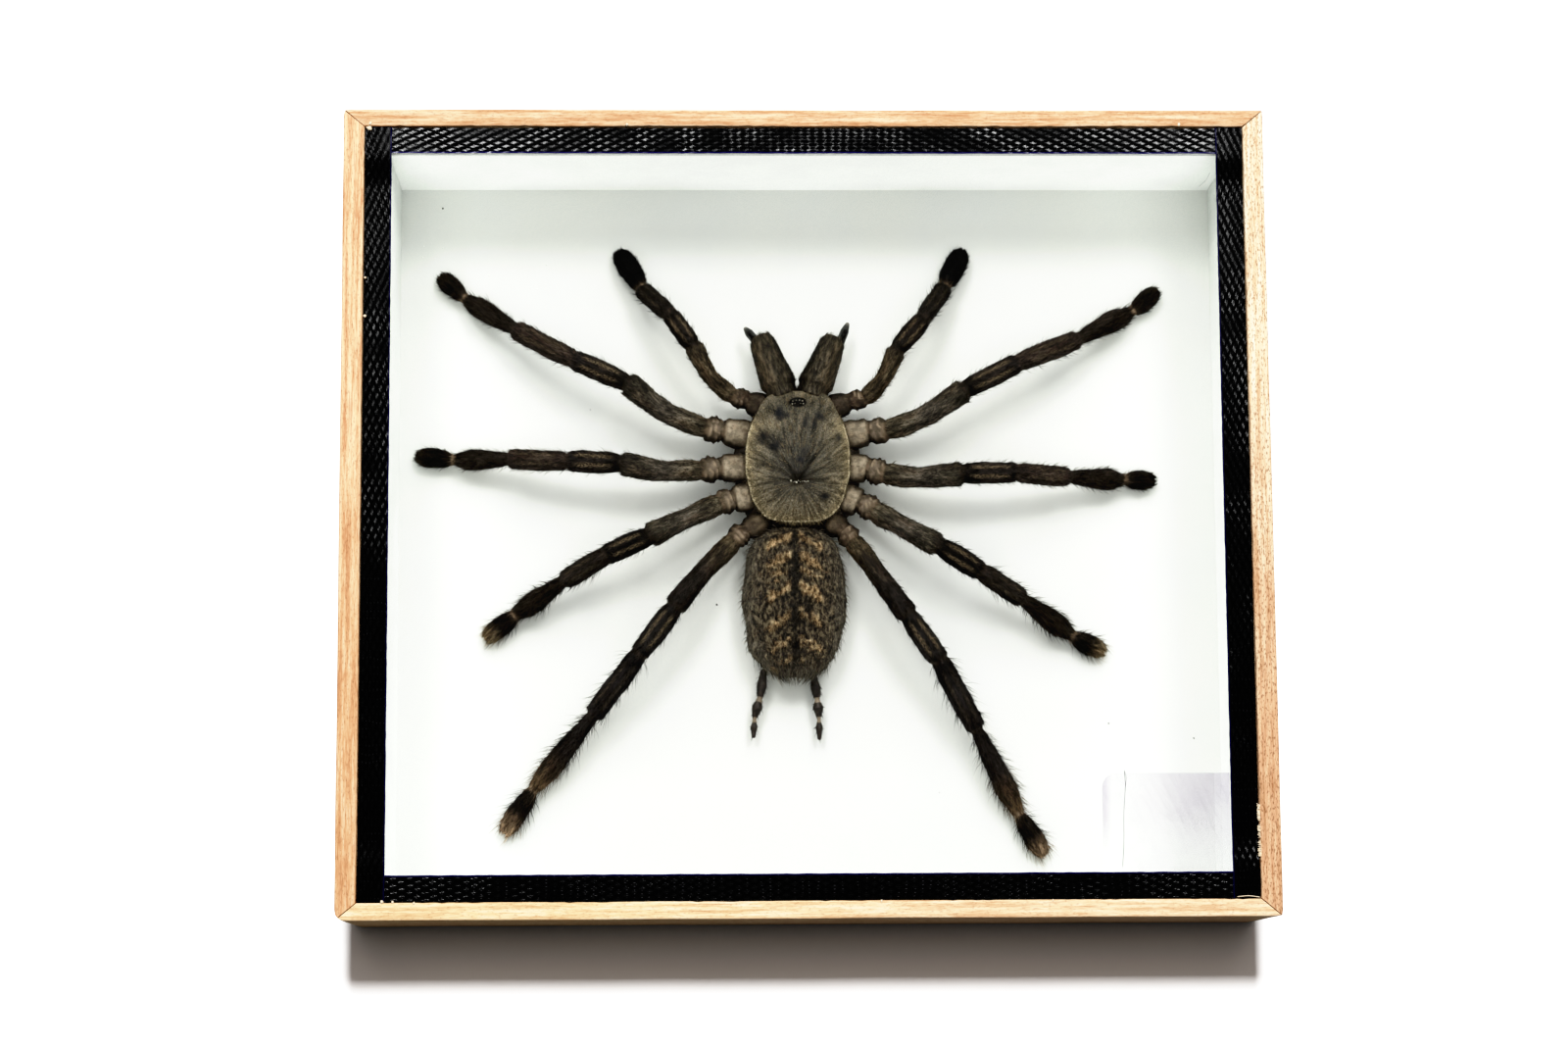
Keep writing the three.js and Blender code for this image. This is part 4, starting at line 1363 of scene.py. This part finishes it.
# --------------------------------------------------------------- the body --
MIDLINE = -1.0 * MM
CARAPACE_SIDES = 216
CARAPACE_SPACING = 0.2 * MM
FOVEA = np.array([0.0, 7.3]) * MM
EYE_MOUND = np.array([0.0, 21.5]) * MM
GROOVE_ENDS = ((6.8, 15.5, 1.3), (9.3, 11.0, 1.0), (9.0, 6.5, 1.0), (6.8, 2.2, 0.8))
GROOVE_WIDTH = 0.42 * MM
GROOVE_DEPTH = 0.3 * MM
DARK_PATCHES = ((-5.8, 15.2, 1.7, 1.8), (4.0, 19.3, 1.1, 1.4), (2.2, 17.6, 1.7, 1.6),
                (-3.0, 19.4, 1.3, 1.2), (0.9, 11.3, 1.2, 2.7), (6.9, 15.2, 1.4, 1.0),
                (-7.0, 10.2, 0.9, 0.9), (4.6, 4.8, 1.2, 0.9), (-4.4, 14.0, 1.2, 1.2))


def carapace_grid():
    """The carapace's fine grid of points, its two poles, and each row's distance along
    the profile as a share of the way to the rim."""
    rings = cad_rings("carapace", np.array([MIDLINE, 9 * MM, 20 * MM]))
    first, last = rings[0][0], rings[-1][0]
    ordered = []
    for ring in rings[1:-1]:
        turn = np.arctan2(ring[:, 1] - first[1], ring[:, 0] - first[0])
        ordered.append(ring[np.argsort(turn)])
    coarse = np.array(ordered)
    wide = np.fft.irfft(np.fft.rfft(coarse, axis=1), n=CARAPACE_SIDES, axis=1)
    wide = wide * CARAPACE_SIDES / coarse.shape[1]
    wide = np.concatenate([np.broadcast_to(first, wide[:1].shape), wide,
                           np.broadcast_to(last, wide[:1].shape)])
    profile = np.linalg.norm(np.diff(wide, axis=0), axis=-1).mean(axis=1)
    reach = np.concatenate([[0], np.cumsum(profile)])
    steps = int(reach[-1] / CARAPACE_SPACING)
    run = (np.arange(steps) + 0.6) / steps * reach[-1]
    fine = soften(resample(wide, reach, run), 0.45 * MM / CARAPACE_SPACING)
    return fine, first, last, run / reach[-4]


def carapace_grooves(x, y):
    """Bowed grooves that run out from the fovea, the same on both sides."""
    groove = np.zeros_like(x)
    for across, ahead, strength in GROOVE_ENDS:
        line = np.array([across, ahead]) * MM - FOVEA
        part = np.clip((np.abs(x) * line[0] + (y - FOVEA[1]) * line[1]) / (line @ line),
                       0.04, 1)
        bow = np.sin(math.pi * part) * 0.35 * MM
        gap = np.hypot(np.abs(x) - line[0] * part, y - FOVEA[1] - line[1] * part - bow)
        groove = np.maximum(groove, strength * bell(gap, 0, GROOVE_WIDTH) * (1 - 0.6 * part))
    return groove


def carapace_patches(x, y, points):
    """Ragged dark patches."""
    patch = np.zeros_like(x)
    ragged = soft_noise(points, 0.8 * MM, 70) + 0.5 * soft_noise(points, 0.4 * MM, 69)
    for across, ahead, wide_by, long_by in DARK_PATCHES:
        spot = np.hypot((x / MM - across) / wide_by, (y / MM - ahead) / long_by)
        patch = np.maximum(patch, bell(spot + 0.3 * ragged, 0, 1.15))
    return patch * (0.7 + 0.5 * soft_noise(points, 1.1 * MM, 71))


def carapace_skin():
    points, first, last, way = carapace_grid()
    share = np.clip(way, 0, 1.2)
    x, y = points[..., 0] - MIDLINE, points[..., 1]
    groove = carapace_grooves(x, y)
    pit = bell(np.hypot(x / 2.1, y - FOVEA[1]), 0, 0.33 * MM)
    mound = bell(np.hypot(x / 1.7, y - EYE_MOUND[1]), 0, 0.75 * MM)
    turn = np.arctan2(x, y - FOVEA[1])
    away = np.hypot(x, y - FOVEA[1])
    ray = np.stack([away / MM * 0.07, np.cos(turn) * 2.2, np.sin(turn) * 2.2], axis=-1)
    marks = {
        "rim": lay(share[:, None], x.shape),
        "groove": groove,
        "patch": carapace_patches(x, y, points),
        "mound": mound,
        "brow": smooth_step(y, 17.5 * MM, 20.5 * MM),
        "pit": pit,
        "ray": ray,
    }
    height = -groove * GROOVE_DEPTH - pit * 0.55 * MM + mound * 0.5 * MM
    height += soft_noise(ray, 0.35, 72) * 0.07 * MM * np.clip(away / (3 * MM), 0, 1)
    height += soft_noise(points, 1.6 * MM, 73) * 0.08 * MM
    height += soft_noise(points, 0.5 * MM, 74) * 0.03 * MM
    lip = bell(share, 0.985, 0.03)[:, None] * 0.12 * MM
    return raise_skin(make_skin(points, first, last, marks),
                      (height + lip) * (way < 1)[:, None])


def carapace_finish():
    shell = Finish("carapace", specular_ior_level=0.2)
    ray = shell.mark("ray", "Vector")
    rim = shell.mark("rim")
    tone = shell.math("SUBTRACT", rim, shell.times(shell.mark("brow"), 0.35))
    base = shell.ramp(tone, (0.0, "#33322f"), (0.45, "#4f4c44"), (0.8, "#777061"),
                      (0.94, "#92876f"), (0.985, "#ddd2b6"), (1.0, "#b5a98e"))
    rays = shell.noise(ray, 5.0, 3, 0.6)
    streak = shell.levels(rays, 0.36, 0.64, 0.55, 1.5)
    colour = shell.dim(base, streak)
    stipple = shell.levels(shell.noise(shell.millimetres(), 4.5, 3, 0.7), 0.38, 0.62, 0.55, 1.5)
    colour = shell.dim(colour, stipple)
    lines = shell.levels(shell.noise(ray, 9.0, 2), 0.56, 0.64)
    colour = shell.mix(shell.times(lines, 0.2), colour, "#7d6a4c")
    threads = shell.levels(shell.noise(shell.stretch(ray, (1, 1.3, 1.3)), 11.0, 1), 0.6, 0.66)
    colour = shell.mix(shell.times(threads, 0.3), colour, "#9a8a70")
    colour = shell.mix(shell.levels(shell.mark("patch"), 0.1, 0.8, 0.0, 0.85), colour, "#171a21")
    colour = shell.over(colour, "groove", 0.6, "#1a1712")
    colour = shell.mix(shell.levels(shell.mark("mound"), 0.1, 0.35), colour, "#0b0908")
    colour = shell.mix(shell.levels(shell.mark("pit"), 0.4, 0.8), colour, "#171410")
    shell.set("Base Color", colour)
    shell.set("Roughness", shell.levels(rim, 0.2, 0.9, 0.6, 0.7))
    shell.bump(rays, 0.08 * MM, 0.6)
    return shell.material


def golden_hair_finish():
    hair = Finish("golden_hair", roughness=0.55)
    tint = hair.mark("tint")
    colour = hair.ramp(tint, (0.0, "#2b2823"), (0.45, "#5e5646"), (0.8, "#8f836a"),
                       (1.0, "#c4b592"))
    colour = hair.mix(hair.levels(hair.mark("patch"), 0.1, 0.7, 0.0, 0.9), colour, "#1c1d22")
    hair.set("Base Color", colour)
    return hair.material


def add_carapace():
    skin = carapace_skin()
    place_piece(add_skin("carapace_shell", skin), carapace_finish(), "carapace", "carapace")
    draw = np.random.default_rng(75)
    rim = skin.marks["rim"]
    on_top = (rim < 1.0) * (1 - np.clip(skin.marks["mound"] * 2, 0, 1))
    behind = smooth_step(-skin.points[..., 1], -9 * MM, -1 * MM)
    dense = on_top * (0.08 + smooth_step(rim, 0.5, 0.97) + 0.5 * behind)
    dense = dense * (1 - 0.7 * np.clip(skin.marks["groove"], 0, 1))
    dense = dense * (1 - 0.6 * skin.marks["brow"])
    velvet = grow(skin, 7500, draw, dense, 0.42 * MM, 0.08 * MM, 0.25, fan=0.7)
    edge = bell(rim, 0.99, 0.03) * (1 - 0.8 * skin.marks["brow"])
    fringe = grow(skin, 800, draw, edge, 0.9 * MM, 0.05 * MM, 0.45, fan=0.6, curve=-0.3)
    rear = edge * (skin.points[..., 1] < 0.5 * MM)
    shawl = grow(skin, 500, draw, rear + 1e-9, 1.3 * MM, 0.06 * MM, 0.35, fan=0.3,
                 curve=-0.2)
    place_piece(add_hair("carapace_hair", velvet, fringe, shawl), golden_hair_finish(),
                "carapace")
    add_eyes(skin)
    add_fovea_flecks(skin)
    add_pleura_and_shade(skin)


PLEURA_ROWS = 30
# Scales above 1 spread the hide past the rim, where it stands as painted shade between the coxae.
PLEURA_LEVELS = ((0.90, 10.6), (1.07, 9.6), (1.2, 8.1), (1.24, 6.8), (1.15, 5.8), (0.95, 5.3))


def add_pleura_and_shade(shell):
    """The dark hide between the legs, under the carapace's rim, spread out past the rim so that
    it also fills the gaps between the coxae as painted shade.
    """
    row = np.argmin(np.abs(shell.marks["rim"][:, 0] - 0.97))
    rim = shell.points[row, ::2]
    centre = shell.first
    front = smooth_step(rim[:, 1:2], 12 * MM, 18 * MM)
    rows = []
    for scale, height in PLEURA_LEVELS:
        ring = centre + (rim - centre) * (1 + (scale - 1) * (1 - 0.75 * front))
        ring[:, 2] = height * MM
        rows.append(ring)
    steps = np.linspace(0, len(rows) - 1, PLEURA_ROWS)
    points = soften(resample(np.array(rows), np.arange(len(rows)), steps), 2)
    middle = centre * (1, 1, 0)
    skin = make_skin(points, middle + UP * 10.9 * MM, middle + UP * 5.2 * MM, {})
    height = soft_noise(points, 1.3 * MM, 78) * 0.25 * MM
    skin = raise_skin(skin, height + soft_noise(points, 0.6 * MM, 79) * 0.1 * MM)
    place_piece(add_skin("pleura", skin), underbody_finish(), "underbody")


def surface_point(skin, x, y):
    """The skin's point nearest to (x, y), seen from above, and its normal."""
    gap = np.hypot(skin.points[..., 0] - x, skin.points[..., 1] - y)
    gap = np.where(skin.normals[..., 2] > 0, gap, 1)
    row, column = np.unravel_index(np.argmin(gap), gap.shape)
    return skin.points[row, column], skin.normals[row, column]


EYES = ((-0.28, 0.32, 0.17), (0.28, 0.32, 0.17), (-0.85, 0.2, 0.2), (0.85, 0.2, 0.2),
        (-0.5, -0.28, 0.15), (0.5, -0.28, 0.15), (-0.98, -0.32, 0.19), (0.98, -0.32, 0.19))


def add_eyes(skin):
    # The eyes are dark; the pale part of their mottle is painted reflection, for the glints on
    # them.
    eyes_with_painted_glints = mottled_finish("eye_gloss", "#4a463d", "#b3ad9d", (6.0, 2), 0.35, 0.6,
                           roughness=0.08, coat_weight=1.0)
    domes = []
    for across, ahead, radius in EYES:
        x = MIDLINE + across * MM
        y = EYE_MOUND[1] + ahead * MM
        place, normal = surface_point(skin, x, y)
        place = np.array([x, y, place[2]]) - normal * 0.05 * MM
        domes.append(lump(place, normal, 0.85 * radius * MM, 0.9 * radius * MM))
    add_bits("eyes", domes, eyes_with_painted_glints, "carapace")


FOVEA_FLECKS = ((-1.25, 0.1), (-0.95, -0.12), (-0.62, 0.06), (-0.3, -0.08), (0.35, 0.0),
                (0.7, 0.08), (1.05, 0.05), (1.35, -0.1), (1.7, 0.02), (0.05, 0.22))


def add_fovea_flecks(skin):
    flake = mottled_finish("white_flakes", "#b9b4a4", "#e2dfd2", (5.0, 2), 0.3, 0.7,
                           roughness=0.8)
    draw = np.random.default_rng(76)
    bits = []
    for across, ahead in FOVEA_FLECKS:
        x, y = MIDLINE + across * MM, FOVEA[1] + ahead * MM
        place, normal = surface_point(skin, x, y)
        bits.append(lump(np.array([x, y, place[2] + 0.03 * MM]), normal,
                         draw.uniform(0.1, 0.2) * MM, 0.08 * MM, 7, 2, 0.4, draw))
    add_bits("fovea_flakes", bits, flake, "carapace")


ABDOMEN_MIDLINE = -1.7 * MM
ABDOMEN_SPACING = 0.18 * MM
ABDOMEN_SIDES = 112
CHEVRONS = ((-1.8, 1.0), (-5.4, 1.0), (-8.0, 0.45), (-10.8, 1.1), (-15.8, 0.85), (-20.1, 0.6),
            (-23.6, 0.4))
CHEVRON_SLOPE = 0.55


def abdomen_pattern(points):
    """How tan the abdomen's hair is: tufts in chevrons beside a dark midline."""
    x = np.abs(points[..., 0] - ABDOMEN_MIDLINE) / MM
    y = points[..., 1] / MM
    wander = soft_noise(points, 1.5 * MM, 81)
    sloped = y + CHEVRON_SLOPE * x + 0.7 * wander
    bands = sum(strength * bell(sloped, middle, 0.95) for middle, strength in CHEVRONS)
    beside = smooth_step(x, 0.3, 1.0) * (1 - smooth_step(x, 3.6, 6.2))
    speckle = soft_noise(points, 0.42 * MM, 82)
    return smooth_step(bands * beside + 0.5 * speckle, 0.3, 0.8)


def abdomen_dusk(points):
    """How black the abdomen is: along the midline and between the chevrons."""
    x = np.abs(points[..., 0] - ABDOMEN_MIDLINE) / MM
    y = points[..., 1] / MM
    wander = soft_noise(points, 1.2 * MM, 88)
    middles = np.array([middle for middle, _ in CHEVRONS])
    behind = np.min(np.where(middles > y[..., None] - 0.3, middles - y[..., None], 9), axis=-1)
    wedge = bell(x, 0, 0.3 + 0.45 * bell(behind, 1.3, 1.2) + 0.2 * wander)
    between = (1 - smooth_step(x, 2.5, 5.0)) * (0.35 + 0.4 * wander)
    return np.clip(wedge + between, 0, 1)


def abdomen_skin():
    loft = sample_loft("abdomen", np.array([MIDLINE, 2 * MM, 10 * MM]), ABDOMEN_SPACING,
                       ABDOMEN_SIDES, 0.8 * MM, 0.5 * MM)
    points = loft.points
    sine = np.broadcast_to(np.sin(loft.angle), points.shape[:2])
    share = (loft.run / loft.run[-1])[:, None]
    height = soft_noise(points, 4.5 * MM, 83) * 0.35 * MM
    height += soft_noise(points * (1, 0.6, 1), 1.7 * MM, 84) * 0.22 * MM
    height += soft_noise(points, 0.8 * MM, 85) * 0.1 * MM
    creases = np.sin(points[..., 1] / MM * 2 * math.pi / 1.7 + 1.5 * soft_noise(
        points, 5 * MM, 86))
    height += creases * 0.16 * MM * smooth_step(share, 0.7, 0.95)
    marks = {
        "tan": abdomen_pattern(points) * smooth_step(sine, 0.15, 0.5),
        "flank": 1 - smooth_step(sine, 0.3, 0.85),
        "dusk": abdomen_dusk(points) * smooth_step(sine, 0.15, 0.5),
        "rear": lay(smooth_step(share, 0.8, 0.97), sine.shape),
    }
    skin = make_skin(points, loft.first, loft.last, marks)
    return raise_skin(skin, height * np.minimum(1, 4 * share) * np.minimum(1, 6 * (1 - share)))


def abdomen_finish():
    skin = Finish("abdomen", roughness=0.75, specular_ior_level=0.25)
    place = skin.millimetres()
    speckle = skin.noise(skin.stretch(place, (1, 0.55, 1)), 1.7, 3, 0.7)
    clumps = skin.noise(place, 0.5, 2)
    dark = skin.ramp(speckle, (0.38, "#211e1b"), (0.5, "#4c453c"), (0.62, "#807663"))
    flank = skin.ramp(speckle, (0.38, "#5a564f"), (0.5, "#716c62"), (0.62, "#8c867a"))
    colour = skin.mix(skin.times(skin.mark("flank"),
                                skin.levels(clumps, 0.3, 0.65, 0.4, 1.0)), dark, flank)
    tan = skin.ramp(speckle, (0.38, "#4c4236"), (0.5, "#ae9574"), (0.62, "#dcc8a6"))
    colour = skin.over(colour, "dusk", 0.85, "#100e0c")
    light = skin.times(skin.mark("tan"),
                      skin.math("SUBTRACT", 1.0, skin.times(skin.mark("dusk"), 0.9)))
    colour = skin.mix(light, colour, tan)
    colour = skin.over(colour, "rear", 0.25, "#5d564c")
    skin.set("Base Color", coat(skin, colour, 0.6, 1.8, 1.25))
    skin.bump(speckle, 0.15 * MM, 0.8)
    return skin.material


def pale_hair_finish():
    """Fibres whose colour runs from dark to pale from one to the next."""
    hair = Finish("pale_hair", roughness=0.5)
    hair.set("Base Color", hair.mix(hair.mark("tint"), "#15120f", "#958d7e"))
    return hair.material


def add_abdomen():
    skin = abdomen_skin()
    finish = abdomen_finish()
    place_piece(add_skin("abdomen_skin", skin), finish, "abdomen", "abdomen")
    draw = np.random.default_rng(87)
    upper = smooth_step(skin.normals[..., 2], -0.7, 0.1) + 0.05
    pile = grow(skin, 11000, draw, upper, 0.6 * MM, 0.12 * MM, 0.4, fan=0.4)
    tufts = grow(skin, 2200, draw, upper * skin.marks["tan"] + 1e-9, 0.75 * MM, 0.11 * MM,
                 0.5, fan=0.5)
    place_piece(add_hair("abdomen_hair", pile, tufts), finish, "abdomen")
    sides = skin.marks["flank"] * upper + 0.8 * skin.marks["rear"] + 0.12
    long_hair = grow(skin, 900, draw, sides, 1.7 * MM, 0.08 * MM, 0.65, curve=0.7)
    tail = grow(skin, 260, draw, skin.marks["rear"] ** 2 * upper + 1e-9, 2.3 * MM, 0.09 * MM,
                0.5, curve=0.3)
    place_piece(add_hair("abdomen_long_hair", long_hair, tail), pale_hair_finish(), "abdomen")


def chelicera_finish():
    jaw = Finish("chelicera", roughness=0.6, specular_ior_level=0.25)
    grain = jaw.mark("grain", "Vector")
    streaks = jaw.noise(grain, 5.0, 3, 0.65)
    colour = jaw.ramp(streaks, (0.38, "#29251e"), (0.5, "#3f3a30"), (0.62, "#585145"))
    colour = jaw.over(colour, "bald", 0.4, "#8f806a")
    # Painted shade: the faces that turn towards the other jaw are darker.
    colour = jaw.mix(jaw.mark("inner"), colour, "#16130f")
    jaw.set("Base Color", coat(jaw, colour, 0.5, 1.7, 1.2))
    jaw.bump(streaks, 0.1 * MM, 0.7)
    return jaw.material


def fang_finish():
    fang = Finish("fang", roughness=0.18, coat_weight=0.6)
    cloud = fang.noise(fang.millimetres(), 3.0, 2)
    dark = fang.ramp(cloud, (0.3, "#080706"), (0.7, "#1c1815"))
    tip = fang.levels(fang.mark("place"), 0.72, 0.95)
    fang.set("Base Color", fang.mix(tip, dark, "#77736c"))
    return fang.material


def simple_loft_skin(node, start, spacing, sides, bend, tight, seed, rough, **ends):
    """A loft with a little roughness of its own, for the jaws, fangs and spinnerets."""
    loft = sample_loft(node, start, spacing, sides, bend, tight, **ends)
    share = loft.run / loft.run[-1]
    grain = loft_grain(loft)
    marks = {"place": lay(share[:, None], loft.points.shape[:2]), "grain": grain}
    height = soft_noise(loft.points, 1.1 * MM, seed) * rough
    height += soft_noise(grain * (1, 2, 2), 0.35, seed + 1) * rough
    skin = raise_skin(make_skin(loft.points, loft.first, loft.last, marks), height)
    skin.share = share
    return skin


JAW_SPREAD = 0.45 * MM            # how much nearer the jaws' roots come to the midline


def add_chelicerae():
    jaw = chelicera_finish()
    horn = fang_finish()
    for seed, side in ((301, "left"), (311, "right")):
        node = "chelicera_" + side
        skin = simple_loft_skin(node, BODY_CENTRE, 0.2 * MM, 44, 0.4 * MM, 0.15 * MM, seed,
                                0.07 * MM, root=2.0 * MM, blunt=0.5)
        outward = -1 if side == "left" else 1
        facing = skin.normals[..., 0] * outward
        spread = np.clip(-facing, 0, 1) * (1 - smooth_step(skin.share, 0.1, 0.6))[:, None]
        skin.points[..., 0] -= outward * spread * JAW_SPREAD
        body = (smooth_step(skin.share, 0.1, 0.25) * (1 - smooth_step(skin.share, 0.8, 0.95)))
        lines = bell(facing, 0.15, 0.06) + bell(facing, 0.42, 0.06) + bell(facing, 0.66, 0.06)
        skin.marks["bald"] = lines * body[:, None] * (skin.normals[..., 2] > 0)
        # Painted shade on the faces that turn towards the other jaw.
        skin.marks["inner"] = smooth_step(-facing, 0.45, 0.8) * 0.8
        place_piece(add_skin(node + "_skin", skin), jaw, "chelicera", node)
        draw = np.random.default_rng(seed)
        upper = smooth_step(skin.normals[..., 2], -0.6, 0.2) + 0.05
        bare = 1 - 0.8 * np.clip(skin.marks["bald"], 0, 1)
        pile = grow(skin, 2400, draw, upper * bare, 0.7 * MM, 0.1 * MM, 0.25, fan=0.2)
        bristles = grow(skin, 220, draw, upper, 1.1 * MM, 0.04 * MM, 0.7, curve=0.6)
        place_piece(add_hair(node + "_hair", pile, bristles), jaw, "chelicera")
        fang = simple_loft_skin("fang_" + side, BODY_CENTRE, 0.1 * MM, 20, 0.15 * MM,
                                0.12 * MM, seed + 5, 0.01 * MM, root=1.4 * MM)
        fang = stout_fang(fang)
        place_piece(add_skin("fang_" + side + "_horn", fang), horn, "fang", "fang_" + side)


FANG_GIRTH = ((0.0, 0.8), (0.55, 0.8), (0.72, 0.64), (0.88, 0.46), (0.96, 0.36), (1.0, 0.15))


def stout_fang(fang):
    """The same fang with a stout base and a blunt tip."""
    share, girth = np.array(FANG_GIRTH).T
    middle = fang.points.mean(axis=1, keepdims=True)
    spoke = fang.points - middle
    size = np.interp(fang.share, share, girth)[:, None, None] * MM
    points = middle + spoke / np.linalg.norm(spoke, axis=-1, keepdims=True) * size
    return make_skin(points, middle[0, 0], fang.last, fang.marks)


def spinneret_finish():
    thread = Finish("spinneret", roughness=0.6)
    mottle = thread.noise(thread.millimetres(), 2.0, 3)
    colour = thread.ramp(mottle, (0.3, "#1a1613"), (0.7, "#37302a"))
    pale = thread.levels(thread.mark("neck"), 0.4, 0.9)
    colour = thread.mix(thread.times(pale, 0.8), colour, "#8d8171")
    thread.set("Base Color", coat(thread, colour))
    thread.bump(mottle, 0.05 * MM, 0.6)
    return thread.material


SPINNERET_SIDES = 18


def add_spinnerets():
    finish = spinneret_finish()
    start = np.array([MIDLINE, -20 * MM, 9 * MM])
    for seed, side in ((331, "left"), (341, "right")):
        node = "spinneret_" + side
        skin = simple_loft_skin(node, start, 0.12 * MM, SPINNERET_SIDES, 0.2 * MM, 0.12 * MM,
                                seed, 0.03 * MM, root=0.8 * MM, swell=1.7)
        girth = np.linalg.norm(skin.points - skin.points.mean(axis=1, keepdims=True), axis=-1)
        girth = girth.mean(axis=1)
        wide = soften(girth[:, None], 7)[:, 0]
        neck = smooth_step(wide - girth, 0.02 * MM, 0.1 * MM) * (skin.share < 0.93)
        skin.marks["neck"] = np.repeat(neck[:, None], SPINNERET_SIDES, axis=1)
        place_piece(add_skin(node + "_skin", skin), finish, "spinneret", node)
        draw = np.random.default_rng(seed)
        all_over = np.ones_like(skin.marks["neck"])
        pile = grow(skin, 700, draw, all_over, 0.4 * MM, 0.08 * MM, 0.45)
        bristles = grow(skin, 90, draw, all_over, 0.9 * MM, 0.08 * MM, 0.7, curve=0.5)
        place_piece(add_hair(node + "_hair", pile, bristles), finish, "spinneret")


def underbody_finish():
    return mottled_finish("underbody", "#171310", "#3a3128", (1.2, 4), 0.3, 0.7, 0.15 * MM,
                          roughness=0.8)


def add_body():
    dress_node("sternum", underbody_finish())
    add_carapace()
    add_abdomen()
    add_chelicerae()
    add_spinnerets()


add_camera()
stage_floor = add_floor()
add_frame()
add_marks()
add_limbs()
add_body()
add_studio(stage_floor, [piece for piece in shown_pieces() if piece.type == "MESH"])
